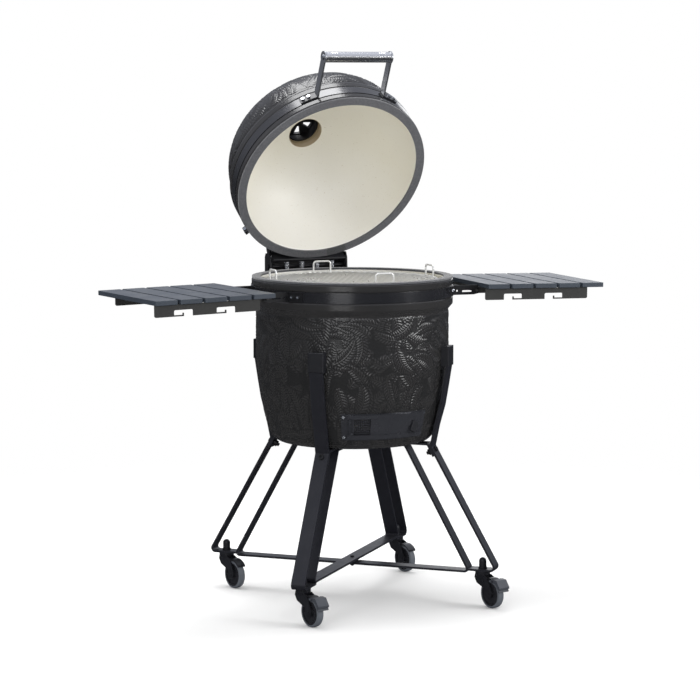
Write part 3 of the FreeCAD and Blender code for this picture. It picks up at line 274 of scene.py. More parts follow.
# ------------------------------------------------------------------ finishes
@dataclass(frozen=True)
class Finish:
    """A plain surface finish: colour, gloss, grain, mottling and settled dust."""

    name: str
    colour: Colour
    roughness: float
    metallic: float = 0.0
    coat: float = 0.0
    coat_roughness: float = 0.1
    specular: float = 0.5
    grain_scale: float = 500.0
    grain_depth: float = 0.00005
    stretch: Place = EVEN
    mottle: float = 0.12
    gloss_change: float = 0.08
    dust: float = 0.0
    dust_colour: Colour = (0.42, 0.41, 0.39)

    def material(self, effects: Effects) -> bpy.types.Material:
        """Builds the material.

        Args:
            effects: the shared node groups.

        Returns:
            A material with its noise on the object's own coordinates.
        """
        made, tree, place = start_material(self.name)
        grain = effects.grain_on(tree, place, self.grain_scale, self.stretch)
        darker = tuple(c * (1 - self.mottle) for c in self.colour)
        lighter = tuple(min(c * (1 + self.mottle), 1.0) for c in self.colour)
        colour = tree.blend(grain.outputs["Broad"], darker, lighter)
        colour = tree.blend(tree.math("MULTIPLY", grain.outputs["Fine"], 0.25), colour, darker)
        if self.dust:
            dust = tree.add("Group", {"Vector": place, "Amount": self.dust},
                            node_tree=effects.dust)
            colour = tree.blend(dust.outputs["Mask"], colour, self.dust_colour)
        rough = tree.lerp(grain.outputs["Broad"], max(self.roughness - self.gloss_change, 0.02),
                          min(self.roughness + self.gloss_change, 1.0))
        shader = finish_material(tree, colour, rough, grain.outputs["Fine"], self.grain_depth)
        for socket, value in (("Metallic", self.metallic), ("Coat Weight", self.coat),
                              ("Coat Roughness", self.coat_roughness),
                              ("Specular IOR Level", self.specular)):
            shader.inputs[socket].default_value = value
        return made


def start_material(name: str) -> tuple[bpy.types.Material, Tree, bpy.types.NodeSocket]:
    """An empty material and its object coordinates.

    Args:
        name: the material's name.

    Returns:
        The material, its tree, and the object coordinates' output.
    """
    made = bpy.data.materials.new(name)
    made.use_nodes = True
    tree = Tree(made.node_tree)
    return made, tree, tree.add("TexCoord").outputs["Object"]


def finish_material(tree: Tree, colour, rough, height, depth: float) -> bpy.types.Node:
    """Adds the shader, the bump and the output.

    Args:
        tree: the material's tree.
        colour: base colour output.
        rough: roughness output or number.
        height: height output for the bump, 0 to 1.
        depth: what a height of 1 stands for, in metres.

    Returns:
        The shader node.
    """
    shader = tree.add("BsdfPrincipled", {"Base Color": colour, "Roughness": rough})
    bump = tree.add("Bump", {"Height": height, "Distance": depth, "Strength": 1.0})
    tree.tree.links.new(bump.outputs[0], shader.inputs["Normal"])
    tree.add("OutputMaterial", {"Surface": shader.outputs[0]})
    return shader


@dataclass(frozen=True)
class WallMiddle:
    """The middle of a turned ceramic wall: upright up to base, then closing towards core."""

    core: float
    radius: float
    base: float
    rise: float
    power: float


@dataclass(frozen=True)
class Glaze:
    """Gloss black glaze outside and pale glaze inside, on one ceramic wall.

    The lid's wall is described closed, so its coordinates are first turned back by the
    lid's angle about the hinge. The pot's closes downwards, so its heights are flipped.
    Towards +Y the inner glaze is painted paler, as painted light on that side.
    """

    name: str
    wall: WallMiddle
    turn: float = 0.0
    shift: Place = (0.0, 0.0, 0.0)
    flip: float = 1.0
    bore: float = 0.0
    bore_edge: float = 0.0008
    # Painted light: the span of Y over which the inner glaze is painted paler, and by how much.
    pale_side: tuple[float, float] = (0.02, 0.26)
    pale_share: float = 0.75
    cloud_share: float = 0.35
    speck_scale: float = 320.0
    speck_level: tuple[float, float] = (0.735, 0.76)
    speck_share: float = 0.7
    outer_roughness: float = 0.16
    inner_roughness: float = 0.42
    black: Colour = (0.0150, 0.0150, 0.0158)
    break_colour: Colour = (0.032, 0.031, 0.031)
    ivory: Colour = (0.80, 0.765, 0.645)
    pale: Colour = (0.86, 0.85, 0.82)
    raw: Colour = (0.46, 0.37, 0.24)

    def material(self, effects: Effects) -> bpy.types.Material:
        """Builds the two-sided glaze.

        Args:
            effects: the shared node groups.

        Returns:
            The material.
        """
        made, tree, place = start_material(self.name)
        turned = tree.add("Mapping", {"Vector": place, "Location": self.shift,
                                      "Rotation": (self.turn, 0.0, 0.0),
                                      "Scale": (1.0, 1.0, self.flip)}).outputs[0]
        sizes = {label.capitalize(): value for label, value in vars(self.wall).items()}
        wall = tree.add("Group", {"Vector": turned, **sizes}, node_tree=effects.inside)
        grain = effects.grain_on(tree, place, 260.0)
        side = tree.add("SeparateXYZ", {0: turned})
        # Painted light: the inner glaze is painted paler towards +Y; the broad noise adds random
        # clouds on top.
        paler = tree.math("MULTIPLY", tree.fade(side.outputs["Y"], *self.pale_side),
                          self.pale_share)
        cloud_and_painted_light = tree.add("Math", {0: grain.outputs["Broad"], 1: self.cloud_share, 2: paler},
                           operation="MULTIPLY_ADD", use_clamp=True)
        inner = tree.blend(cloud_and_painted_light.outputs[0], self.ivory, self.pale)
        speck = tree.add("TexNoise", {"Vector": place, "Scale": self.speck_scale, "Detail": 1.0})
        specks = tree.fade(speck.outputs["Fac"], *self.speck_level)
        inner = tree.blend(tree.math("MULTIPLY", specks, self.speck_share), inner, self.raw)
        outer = tree.blend(grain.outputs["Broad"], self.black, self.break_colour)
        colour = tree.blend(wall.outputs["Inside"], outer, inner)
        if self.bore:
            raw = tree.fade(wall.outputs["Reach"], self.bore + self.bore_edge, self.bore)
            colour = tree.blend(raw, colour, self.raw)
        rough = tree.lerp(wall.outputs["Inside"], self.outer_roughness, self.inner_roughness)
        finish_material(tree, colour, rough, grain.outputs["Fine"], 0.00022)
        return made


@dataclass(frozen=True)
class ReliefGlaze:
    """The black glaze on the fern relief: thin and lighter on its ridges, pooled in its hollows."""

    name: str = "relief_glaze"
    pooled: Colour = (0.0150, 0.0150, 0.0155)
    ridge: Colour = (0.032, 0.031, 0.031)
    pooled_roughness: float = 0.27
    ridge_roughness: float = 0.17

    def material(self, effects: Effects) -> bpy.types.Material:
        """Builds the glaze from the relief's own height.

        Args:
            effects: the shared node groups.

        Returns:
            The material.
        """
        made, tree, place = start_material(self.name)
        height = tree.add("Attribute", attribute_name="relief")
        grain = effects.grain_on(tree, place, 300.0)
        colour = tree.blend(height.outputs["Fac"], self.pooled, self.ridge)
        cloudy = tree.math("MULTIPLY", grain.outputs["Broad"], 0.3)
        colour = tree.blend(cloudy, colour, self.pooled)
        rough = tree.lerp(height.outputs["Fac"], self.pooled_roughness, self.ridge_roughness)
        finish_material(tree, colour, rough, grain.outputs["Fine"], 0.0002)
        return made


@dataclass(frozen=True)
class Felt:
    """Pressed felt: short tangled fibres, fuzzy at a glance, with one darker join."""

    name: str = "grey_felt"
    dark: Colour = (0.045, 0.046, 0.050)
    light: Colour = (0.130, 0.132, 0.146)
    join: Place | None = None
    join_radius: float = 0.031
    tuft_depth: float = 0.0012
    sheen: float = 0.35

    def material(self, effects: Effects) -> bpy.types.Material:
        """Builds the felt.

        Args:
            effects: the shared node groups.

        Returns:
            The material.
        """
        made, tree, place = start_material(self.name)
        grain = effects.grain_on(tree, place, 900.0)
        tufts = tree.add("TexNoise", {"Vector": place, "Scale": 160.0, "Detail": 6.0,
                                      "Roughness": 0.8})
        mixed = tree.math("MULTIPLY", grain.outputs["Fine"], tufts.outputs["Fac"])
        colour = tree.blend(tree.fade(mixed, 0.12, 0.42), self.dark, self.light)
        if self.join:
            away = tree.add("VectorMath", {0: place, 1: self.join}, operation="DISTANCE")
            near = tree.fade(away.outputs["Value"], self.join_radius, self.join_radius * 0.92)
            colour = tree.blend(near, colour, self.dark)
        shader = finish_material(tree, colour, 0.95, mixed, self.tuft_depth)
        shader.inputs["Sheen Weight"].default_value = self.sheen
        shader.inputs["Sheen Roughness"].default_value = 0.5
        return made


@dataclass(frozen=True)
class HandleSteel:
    """Brushed steel arms whose feet along the band are black and not metallic."""

    turn: float
    shift: Place
    name: str = "handle_steel"
    steel: Colour = (0.50, 0.51, 0.53)
    # The black of the feet along the band, which are made not metallic.
    coat: Colour = (0.016, 0.0165, 0.020)
    foot: float = 0.2905
    foot_edge: float = 0.0004
    brushing: Place = (9.0, 0.6, 0.6)

    def material(self, effects: Effects) -> bpy.types.Material:
        """Builds the two-part finish.

        Args:
            effects: the shared node groups.

        Returns:
            The material.
        """
        made, tree, place = start_material(self.name)
        turned = tree.add("Mapping", {"Vector": place, "Location": self.shift,
                                      "Rotation": (self.turn, 0.0, 0.0)})
        reach = tree.from_axis(tree.add("SeparateXYZ", {0: turned.outputs[0]}))
        foot = tree.fade(reach, self.foot + self.foot_edge, self.foot)
        grain = effects.grain_on(tree, place, 260.0, self.brushing)
        colour = tree.blend(foot, self.steel, self.coat)
        rough = tree.lerp(grain.outputs["Fine"], 0.30, 0.40)
        shader = finish_material(tree, colour, rough, grain.outputs["Fine"], 0.00002)
        tree.tree.links.new(tree.math("SUBTRACT", 1.0, foot), shader.inputs["Metallic"])
        return made


class Coat(Enum):
    """The plain finishes on the grill, each a coating, a bare metal or a moulding."""

    GRIP = Finish("polished_stainless", (0.80, 0.80, 0.80), 0.20, metallic=1.0,
                  grain_scale=160.0, stretch=(0.3, 12.0, 12.0), grain_depth=0.000002,
                  mottle=0.04, gloss_change=0.03)
    WIRE = Finish("grate_wire", (0.88, 0.88, 0.86), 0.30, metallic=0.55, grain_scale=300.0,
                  stretch=(4.0, 0.4, 4.0), grain_depth=0.00002, mottle=0.08, gloss_change=0.1)
    BOLT = Finish("bright_zinc", (0.50, 0.52, 0.55), 0.24, metallic=1.0, grain_scale=800.0,
                  grain_depth=0.00001, mottle=0.08)
    SPRING = Finish("spring_steel", (0.76, 0.77, 0.78), 0.22, metallic=1.0, grain_scale=700.0,
                    grain_depth=0.00001, mottle=0.06)
    DOOR = Finish("door_steel", (0.060, 0.062, 0.072), 0.26, metallic=0.6, grain_scale=700.0,
                  grain_depth=0.00002, mottle=0.08, coat=0.4, coat_roughness=0.15)
    BAND = Finish("satin_band", (0.0150, 0.0155, 0.0190), 0.26, metallic=0.3,
                  grain_scale=900.0, grain_depth=0.00002, coat=0.7, coat_roughness=0.14,
                  dust=0.04)
    BLACK = Finish("black_powder_coat", (0.0080, 0.0080, 0.0095), 0.40, specular=0.35,
                   grain_scale=1400.0, grain_depth=0.00005, dust=0.03)
    SLATE = Finish("slate_powder_coat", (0.0120, 0.0125, 0.0175), 0.38, specular=0.40,
                   grain_scale=1500.0, grain_depth=0.00006, dust=0.05)
    SLAT = Finish("slat_board", (0.036, 0.046, 0.062), 0.40, grain_scale=420.0,
                  stretch=(5.0, 0.35, 5.0), grain_depth=0.00008, mottle=0.16, dust=0.10)
    PLATE = Finish("olive_dark_coat", (0.028, 0.028, 0.027), 0.46, specular=0.35,
                   grain_scale=1200.0, grain_depth=0.00006, dust=0.04)
    MOULDED = Finish("black_moulding", (0.0105, 0.0110, 0.0140), 0.38, specular=0.4,
                     grain_scale=1600.0, grain_depth=0.00005)
    CASTER = Finish("caster_black", (0.0110, 0.0115, 0.0145), 0.30, specular=0.45,
                    grain_scale=1200.0, grain_depth=0.00004, coat=0.2, dust=0.05)
    WHEEL = Finish("wheel_disc", (0.0150, 0.0155, 0.0190), 0.28, grain_scale=900.0,
                   grain_depth=0.00004)
    TREAD = Finish("caster_tread", (0.085, 0.095, 0.112), 0.60, grain_scale=1000.0,
                   grain_depth=0.0001, dust=0.12)
    PEDAL = Finish("pedal_grey", (0.040, 0.045, 0.056), 0.45, grain_scale=1200.0,
                   grain_depth=0.00006, dust=0.1)
    CAST = Finish("cast_black", (0.0080, 0.0080, 0.0090), 0.5, specular=0.3,
                  grain_scale=700.0, grain_depth=0.00025, dust=0.03)
    IRON = Finish("coal_iron", (0.05, 0.048, 0.045), 0.75, grain_scale=500.0,
                  grain_depth=0.0004)
    # Painted shade: the firebox and fire ring are made dark so that they read dark through the
    # draft door's holes.
    REFRACTORY = Finish("painted_shade_refractory", (0.085, 0.078, 0.070), 0.9, specular=0.2,
                        grain_scale=350.0, grain_depth=0.0004, mottle=0.25)


COATED: tuple[tuple[Coat, tuple[str, ...]], ...] = (
    (Coat.REFRACTORY, ("firebox", "fire_ring")),
    (Coat.GRIP, ("handle_grip",)),
    (Coat.WIRE, ("cooking_grate",)),
    (Coat.SPRING, ("hinge_springs",)),
    (Coat.DOOR, ("draft_",)),
    (Coat.BOLT, ("base_bolts", "lid_bolts", "draft_screws")),
    (Coat.BAND, ("base_band", "lid_band")),
    (Coat.BLACK, ("hinge_base", "hinge_pin", "lid_hinge_bracket", "shelf_brackets",
                  "stand_bolts")),
    (Coat.SLATE, ("leg_", "inner_frame", "cradle_strap")),
    (Coat.SLAT, ("shelf_left_slats", "shelf_right_slats")),
    (Coat.PLATE, ("shelf_left_frame", "shelf_right_frame")),
    (Coat.MOULDED, ("arm_caps", "stem_caps", "door_pull")),
    (Coat.CASTER, ("caster_fork",)),
    (Coat.WHEEL, ("caster_wheel",)),
    (Coat.TREAD, ("caster_tyre",)),
    (Coat.PEDAL, ("brake_pedal",)),
    (Coat.CAST, ("vent_", "daisy_")),
    (Coat.IRON, ("charcoal_grate",)),
)


# ------------------------------------------------------------------ meshes
def grid_faces(rows: int, columns: int, joined: bool) -> Grid:
    """Corner numbers of a grid's four-sided faces, turned so that they face outwards.

    Args:
        rows: points along the first direction.
        columns: points along the second.
        joined: whether the last column meets the first.

    Returns:
        An array of four corners for each face.
    """
    across = columns if joined else columns - 1
    i, j = np.meshgrid(np.arange(rows - 1), np.arange(across), indexing="ij")
    right = (j + 1) % columns
    faces = np.stack([i * columns + j, i * columns + right, (i + 1) * columns + right,
                      (i + 1) * columns + j], axis=-1)
    return faces.reshape(-1, 4)


def mesh_object(name: str, points: Grid, faces: Grid, material: bpy.types.Material,
                values: dict[str, Grid] | None = None) -> bpy.types.Object:
    """A smooth mesh object at the origin.

    Args:
        name: the piece's name.
        points: N by 3 places in metres.
        faces: M by 4 corner numbers.
        material: its finish.
        values: point attributes by name.

    Returns:
        The new object, linked to the scene.
    """
    mesh = bpy.data.meshes.new(name)
    mesh.from_pydata(points.tolist(), [], faces.tolist())
    for label, numbers in (values or {}).items():
        layer = mesh.attributes.new(label, "FLOAT", "POINT")
        layer.data.foreach_set("value", numbers.astype(np.float32))
    mesh.polygons.foreach_set("use_smooth", np.ones(len(mesh.polygons), dtype=bool))
    mesh.materials.append(material)
    mesh.update()
    made = bpy.data.objects.new(name, mesh)
    bpy.context.collection.objects.link(made)
    return made


def node_points(node: bpy.types.Object) -> Grid:
    """All of a frame node's vertices as an N by 3 array."""
    points = np.empty(len(node.data.vertices) * 3)
    node.data.vertices.foreach_get("co", points)
    return points.reshape(-1, 3)


@dataclass
class FernRelief:
    """Fern fronds pressed into clay, as a height over a flat strip that closes on itself.

    A frond is an arc of a circle. A point's place on it is s, the length along the arc, and
    d, the distance from it. Leaflets are ridges whose crests follow
    s - lean * d - curl * d ** 2 = a whole number of pitches, inside a width that tapers to
    the tip, and the stem is a bell-shaped ridge along d = 0. A later frond covers the ones
    under it.

    Lengths are in metres. bend is the arc's radius, root is where the leaflets start beside
    the stem and how soon they reach full height, edge is how soon they end at the outline,
    and margin is the bare clay pressed round it. Roots stand on a grid of the given spacing,
    each moved by up to scatter of a spacing.
    """

    length: tuple[float, float] = (0.075, 0.125)
    half_width: tuple[float, float] = (0.014, 0.021)
    bend: tuple[float, float] = (0.045, 0.16)
    pitch: float = 0.0080
    lean: float = 0.45
    curl: float = 9.0
    sharpness: float = 1.7
    ridge: float = 0.0017
    edge: float = 0.004
    root: tuple[float, float] = (0.0018, 0.0030)
    stem: float = 0.0013
    stem_width: float = 0.0016
    tip_run: float = 6.0
    skew: float = 0.7
    bluntness: float = 0.65
    margin: float = 0.002
    spacing: float = 0.034
    scatter: float = 0.3
    seed: int = 7

    def heights(self, along: Grid, up: Grid, around: float) -> Grid:
        """Relief height at each point.

        Args:
            along: distance around the body for each point.
            up: distance up the side for each point.
            around: the length after which the strip meets itself.

        Returns:
            Heights in metres, 0 on the bare ground.
        """
        draw = np.random.default_rng(self.seed)
        result = np.zeros_like(along)
        low, high = float(up.min()), float(up.max())
        columns = max(int(round(around / self.spacing)), 1)
        rows = int(math.ceil((high - low) / self.spacing)) + 1
        order = draw.permutation(columns * rows)
        for number in order:
            row, column = divmod(int(number), columns)
            aside = column + 0.5 * (row % 2) + draw.uniform(-self.scatter, self.scatter)
            above = row + draw.uniform(-self.scatter, self.scatter)
            start = np.array([aside * around / columns, low + above * self.spacing])
            self.press(result, along, up, around, start, draw)
        return result

    def press(self, result: Grid, along: Grid, up: Grid, around: float, start: Grid,
              draw: np.random.Generator) -> None:
        """Presses one frond into the heights.

        Args:
            result: heights, changed in place.
            along: distance around for each point.
            up: distance up for each point.
            around: the strip's full length.
            start: the frond's root.
            draw: source of its direction, bend and size.
        """
        heading = draw.uniform(0, 2 * math.pi)
        radius = draw.uniform(*self.bend)
        side = 1.0 if draw.uniform() < 0.5 else -1.0
        length = draw.uniform(*self.length)
        width = draw.uniform(*self.half_width)
        dx = (along - start[0] + around / 2) % around - around / 2
        dy = up - start[1]
        near = np.flatnonzero(dx * dx + dy * dy < (length + width) ** 2)
        x, y = dx.ravel()[near], dy.ravel()[near]
        forward = x * math.cos(heading) + y * math.sin(heading)
        sideways = (-x * math.sin(heading) + y * math.cos(heading)) * side
        angle = np.arctan2(forward, radius - sideways)
        s = angle * radius
        d = np.abs(np.hypot(forward, radius - sideways) - radius)
        t = s / length
        within = (t > 0) & (t < 1)
        swell = np.sin(math.pi * np.clip(t, 0, 1) ** self.skew)
        taper = width * np.clip(swell, 0, 1) ** self.bluntness
        crest = (s - self.lean * d - self.curl * d * d) / self.pitch
        leaflet = (0.5 + 0.5 * np.cos(2 * math.pi * crest)) ** self.sharpness
        edge = np.clip((taper - d) / self.edge, 0, 1) ** 0.7
        root = np.clip((d - self.root[0]) / self.root[1], 0, 1)
        height = self.ridge * leaflet * edge * root
        tip = np.clip((1 - t) * self.tip_run, 0, 1)
        stem = self.stem * np.exp(-(d / self.stem_width) ** 2) * tip
        height = np.maximum(height, stem)
        covered = within & (d < taper + self.margin)
        flat = result.reshape(-1)
        flat[near[covered]] = height[covered]


@dataclass(frozen=True)
class Window:
    """A gap in the relief, between two angles about the axis in degrees and two heights."""

    start: float
    end: float
    low: float
    high: float

    def holds(self, angle: Grid, height: Grid) -> Grid:
        """Which of the given places are in the gap.

        Args:
            angle: angles from 0 to 360 degrees.
            height: heights in metres.

        Returns:
            True for each place in the gap.
        """
        turned = (angle + 180.0) % 360.0 - 180.0
        return ((turned > self.start) & (turned < self.end)
                & (height > self.low) & (height < self.high))


@dataclass
class Skin:
    """The relief that lies on one turned ceramic wall.

    A meridian read from the wall is carried round the axis, and each point is moved out
    along the wall's own slope by the relief's height.

    low and high are the skin's ends, and rising says that the wall widens upwards. Between
    its ends the skin stands lift proud of the wall, and over fade it dips to sink under it.
    Vertices up to wall inside the widest one so far count as the outer face, reach is how
    far past the ends they are read, and those within level of one height are one ring.
    """

    node: str
    body: str
    relief: FernRelief
    rising: bool
    low: float
    high: float
    step: float
    columns: int
    lift: float = 0.0003
    sink: float = 0.0007
    fade: float = 0.007
    reach: float = 0.02
    wall: float = 0.004
    level: float = 0.0003
    turn: Matrix = field(default_factory=lambda: Matrix.Identity(4))

    def meridian(self, nodes: dict[str, bpy.types.Object]) -> tuple[Grid, Grid]:
        """Outer radius and height along the wall, evenly spaced.

        Args:
            nodes: the frame's nodes.

        Returns:
            Radii and heights from the low end to the high end.
        """
        points = node_points(nodes[self.node])
        back = np.array(self.turn.inverted())
        points = points @ back[:3, :3].T + back[:3, 3]
        radius, height = np.hypot(points[:, 0], points[:, 1]), points[:, 2]
        order = np.argsort(height if self.rising else -height)
        radius, height = radius[order], height[order]
        outer = radius > np.maximum.accumulate(radius) - self.wall
        keep = outer & (height > self.low - self.reach) & (height < self.high + self.reach)
        radius, height = radius[keep], height[keep]
        sort = np.argsort(height)
        radius, height = radius[sort], height[sort]
        levels = np.unique(np.round(height, 4))
        widest = np.array([radius[np.abs(height - level) < self.level].max()
                           for level in levels])
        steps = np.hypot(np.diff(levels), np.diff(widest))
        length = np.concatenate([[0.0], np.cumsum(steps)])
        first = np.interp(self.low, levels, length)
        last = np.interp(self.high, levels, length)
        even = np.linspace(first, last, int((last - first) / self.step) + 1)
        return np.interp(even, length, widest), np.interp(even, length, levels)

    def shell(self, radius: Grid, height: Grid) -> tuple[Grid, Grid]:
        """The relief's points and how high each stands.

        Args:
            radius: the meridian's radii.
            height: the meridian's heights.

        Returns:
            N by 3 places in metres, and N shades from 0 in a hollow to 1 on a ridge.
        """
        slope = np.stack([np.gradient(radius), np.gradient(height)], axis=1)
        slope /= np.linalg.norm(slope, axis=1, keepdims=True)
        out = np.stack([slope[:, 1], -slope[:, 0]], axis=1)
        length = np.arange(len(radius)) * self.step
        angles = np.arange(self.columns) * (2 * math.pi / self.columns)
        widest = float(radius.max())
        up, turn = np.meshgrid(length, angles, indexing="ij")
        relief = self.relief.heights(turn * widest, up, 2 * math.pi * widest)
        ends = np.clip(np.minimum(up, length[-1] - up) / self.fade, 0, 1)
        offset = (relief + self.lift) * ends - self.sink * (1 - ends)
        r = radius[:, None] + out[:, 0:1] * offset
        z = height[:, None] + out[:, 1:2] * offset
        points = np.stack([r * np.cos(turn), r * np.sin(turn), z], axis=-1).reshape(-1, 3)
        place = np.array(self.turn)
        points = points @ place[:3, :3].T + place[:3, 3]
        return points, np.clip(relief / self.relief.stem, 0, 1).reshape(-1)

    def build(self, nodes: dict[str, bpy.types.Object], material: bpy.types.Material,
              window: Window | None = None) -> None:
        """Makes the relief as a front and a back half.

        Args:
            nodes: the frame's nodes.
            material: the glaze.
            window: an opening to leave, or None.
        """
        radius, height = self.meridian(nodes)
        points, shade = self.shell(radius, height)
        faces = grid_faces(len(radius), self.columns, joined=True)
        number = np.arange(len(faces))
        middle = (number % self.columns + 0.5) * 360.0 / self.columns
        level = height[np.minimum(number // self.columns, len(radius) - 1)]
        if window:
            kept = ~window.holds(middle, level)
            faces, middle = faces[kept], middle[kept]
        for label, chosen in (("back", middle < 180.0), ("front", middle >= 180.0)):
            part = faces[chosen]
            used, renumbered = np.unique(part, return_inverse=True)
            piece = mesh_object(f"{self.node}_relief_{label}", points[used],
                                renumbered.reshape(-1, 4), material, {"relief": shade[used]})
            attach(piece, self.body)
            LOG.info("%s: %d faces", piece.name, len(part))


# ------------------------------------------------------------------ the grill
@dataclass
class Grill:
    """The whole grill's dressing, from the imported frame.

    Heights on the lid are those of the closed lid. The skins' two numbers are the heights
    where the relief starts and ends, and the window is its gap round the draft opening.
    """

    frame: dict
    effects: Effects
    open_angle: float = math.radians(55.74)
    pot_wall: WallMiddle = WallMiddle(0.0, 0.2655, -0.70, 0.232, 3.0)
    lid_wall: WallMiddle = WallMiddle(0.056, 0.2655, 0.975, 0.195, 2.2)
    flue: float = 0.0505
    pot_skin: tuple[float, float] = (0.468, 0.8295)
    lid_skin: tuple[float, float] = (1.0175, 1.1862)
    window: Window = Window(-115.2, -90.8, 0.4995, 0.5485)
    skin_step: float = 0.00195
    skin_columns: int = 1000
    felt_radius: float = 0.272
    felt_height: float = 0.9255
    join_angle: float = math.radians(73.0)

    def hinge(self) -> Vector:
        """The lid hinge's place, from the frame's joints."""
        joint = [j for j in self.frame["joints"] if j["name"] == "lid_hinge"][0]
        return Vector(joint["pos_m"])

    def lid_turn(self) -> Matrix:
        """The turn that opens the lid from closed to its stored pose."""
        at = self.hinge()
        turn = Matrix.Rotation(-self.open_angle, 4, "X")
        return Matrix.Translation(at) @ turn @ Matrix.Translation(-at)

    def dress(self, material: bpy.types.Material, *names: str) -> None:
        """Gives a material to frame nodes whose names start with any of the given words.

        Args:
            material: the finish.
            names: node names or their beginnings.
        """
        for label, node in self.frame["nodes"].items():
            if label.startswith(names):
                for slot in node.material_slots:
                    slot.material = material
                LOG.info("%s: %s", label, material.name)

    def dress_ceramics(self) -> None:
        """Glaze on the pot and lid, felt on their rims, and the handle's two-part arms."""
        shift = tuple(self.lid_turn().inverted().to_translation())
        around = self.join_angle
        join = self.lid_turn() @ Vector((self.felt_radius * math.cos(around),
                                         self.felt_radius * math.sin(around), self.felt_height))
        lid = Glaze("lid_glaze", self.lid_wall, turn=self.open_angle, shift=shift, bore=self.flue)
        for finish, name in ((Glaze("pot_glaze", self.pot_wall, flip=-1.0), "base_pot"),
                             (lid, "lid_dome"),
                             (Felt("pot_felt", light=(0.085, 0.088, 0.102)), "base_gasket"),
                             (Felt("lid_felt", join=tuple(join)), "lid_gasket"),
                             (HandleSteel(turn=self.open_angle, shift=shift), "handle_arm")):
            self.dress(finish.material(self.effects), name)

    def dress_coats(self) -> None:
        """Every plain finish, in the table's order, because draft_screws comes after draft_."""
        for coat, names in COATED:
            self.dress(coat.value.material(self.effects), *names)

    def press_relief(self) -> None:
        """The fern relief on the pot's side and on the dome."""
        glaze = ReliefGlaze().material(self.effects)
        nodes = self.frame["nodes"]
        pot = Skin("base_pot", "base_and_stand", FernRelief(seed=11), True, *self.pot_skin,
                   step=self.skin_step, columns=self.skin_columns)
        pot.build(nodes, glaze, self.window)
        dome = Skin("lid_dome", "lid", FernRelief(seed=23), False, *self.lid_skin,
                    step=self.skin_step, columns=self.skin_columns, turn=self.lid_turn())
        dome.build(nodes, glaze)


# ------------------------------------------------------------------ studio
@dataclass(frozen=True)
class SoftBox:
    """One square soft light, unseen by the camera."""

    name: str
    place: Place
    target: Place
    size: float
    power: float

    def hang(self) -> None:
        """Puts the light in the scene, turned to its target."""
        data = bpy.data.lights.new(self.name, "AREA")
        data.size = self.size
        data.energy = self.power
        lamp = bpy.data.objects.new(self.name, data)
        lamp.location = self.place
        lamp.visible_camera = False
        way = Vector(self.target) - Vector(self.place)
        lamp.rotation_euler = way.to_track_quat("-Z", "Y").to_euler()
        bpy.context.collection.objects.link(lamp)


SOFT_BOXES = (
    SoftBox("overhead", (-0.2, 1.0, 4.4), (0, 0, 0.6), 2.2, 120.0),
    SoftBox("front_right", (3.0, -3.2, 1.9), (0, 0, 0.7), 1.6, 75.0),
    SoftBox("front_left", (-3.2, -4.2, 1.6), (0, 0.3, 1.1), 2.2, 45.0),
    SoftBox("back_right", (4.2, 5.4, 1.7), (0, 0, 0.9), 2.4, 26.0),
)


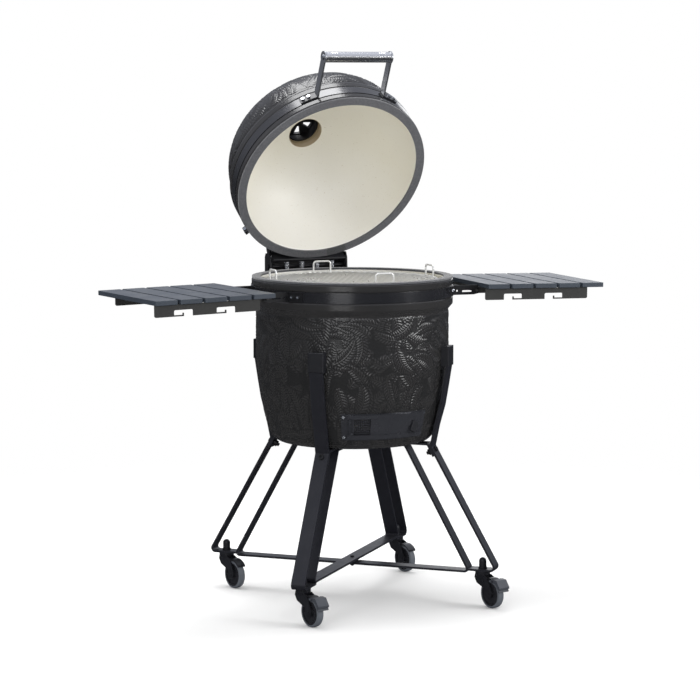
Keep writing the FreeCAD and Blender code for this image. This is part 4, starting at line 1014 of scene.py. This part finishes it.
@dataclass
class Studio:
    """Pale floor, soft light and the camera."""

    azimuth: float = 25.05
    pitch: float = -6.55
    distance: float = 6.79945
    eye: float = 1.490
    focal: float = 123.8
    sensor: float = 36.0
    shift: float = -0.0032
    floor_size: float = 2.6
    floor_colour: Colour = (0.93, 0.93, 0.93)
    ambient: float = 0.88
    sky_colour: Colour = (0.92, 0.96, 1.10)
    sky_low: float = 0.04
    sky_level: float = 0.46
    sky_rise: float = 0.30

    def floor(self) -> None:
        """A pale floor that fades out into the white surroundings."""
        half = self.floor_size
        points = np.array([[-half, -half, 0], [half, -half, 0], [half, half, 0],
                           [-half, half, 0]])
        made, tree, place = start_material("studio_floor")
        length = tree.add("VectorMath", {0: place}, operation="LENGTH")
        fade = tree.add("MapRange", {"Value": length.outputs["Value"], "From Min": 1.0,
                                     "From Max": self.floor_size * 0.97},
                        interpolation_type="SMOOTHSTEP")
        plain = tree.add("BsdfDiffuse", {"Color": (*self.floor_colour, 1.0)})
        clear = tree.add("BsdfTransparent")
        mixed = tree.add("MixShader", {0: fade.outputs[0], 1: plain.outputs[0],
                                       2: clear.outputs[0]})
        tree.add("OutputMaterial", {"Surface": mixed.outputs[0]})
        floor = mesh_object("studio_floor", points, np.array([[0, 1, 2, 3]]), made)
        floor.visible_glossy = False

    def surroundings(self) -> None:
        """White to look at, even to light by, and paler upwards where they are mirrored."""
        world = bpy.data.worlds.new("studio")
        world.use_nodes = True
        tree = Tree(world.node_tree)
        way = tree.add("SeparateXYZ", {0: tree.add("TexCoord").outputs["Generated"]})
        low = tree.add("MapRange", {"Value": way.outputs["Z"], "From Min": -0.10,
                                    "From Max": 0.30, "To Min": self.sky_low,
                                    "To Max": self.sky_level})
        high = tree.add("MapRange", {"Value": way.outputs["Z"], "From Min": 0.30,
                                     "From Max": 1.0, "To Max": self.sky_rise})
        sky = tree.math("ADD", low.outputs[0], high.outputs[0])
        mirrored = tree.add("Background", {"Color": (*self.sky_colour, 1.0), "Strength": sky})
        ambient = tree.add("Background", {"Color": WHITE, "Strength": self.ambient})
        seen = tree.add("Background", {"Color": WHITE, "Strength": 1.0})
        ray = tree.add("LightPath")
        lit = tree.add("MixShader", {0: ray.outputs["Is Glossy Ray"], 1: ambient.outputs[0],
                                     2: mirrored.outputs[0]})
        whole = tree.add("MixShader", {0: ray.outputs["Is Camera Ray"], 1: lit.outputs[0],
                                       2: seen.outputs[0]})
        tree.add("OutputWorld", {"Surface": whole.outputs[0]})
        bpy.context.scene.world = world

    def camera(self) -> None:
        """The camera, level from side to side, looking a little down."""
        data = bpy.data.cameras.new("camera")
        data.lens = self.focal
        data.sensor_width = self.sensor
        data.shift_x = self.shift
        data.clip_end = 100.0
        camera = bpy.data.objects.new("camera", data)
        turn = math.radians(self.azimuth)
        camera.location = (-self.distance * math.sin(turn), -self.distance * math.cos(turn),
                           self.eye)
        camera.rotation_euler = Euler((math.radians(90.0 + self.pitch), 0.0, -turn), "XYZ")
        bpy.context.collection.objects.link(camera)
        bpy.context.scene.camera = camera

    def build(self) -> None:
        """Makes the studio."""
        self.floor()
        self.surroundings()
        for box in SOFT_BOXES:
            box.hang()
        self.camera()
        bpy.context.scene.view_settings.view_transform = "Standard"


def main() -> None:
    """Dresses the frame, adds the relief, and sets up the studio."""
    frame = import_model()
    effects = Effects()
    grill = Grill(frame, effects)
    grill.dress_ceramics()
    grill.dress_coats()
    grill.press_relief()
    Studio().build()


if __name__ == "__main__":
    main()
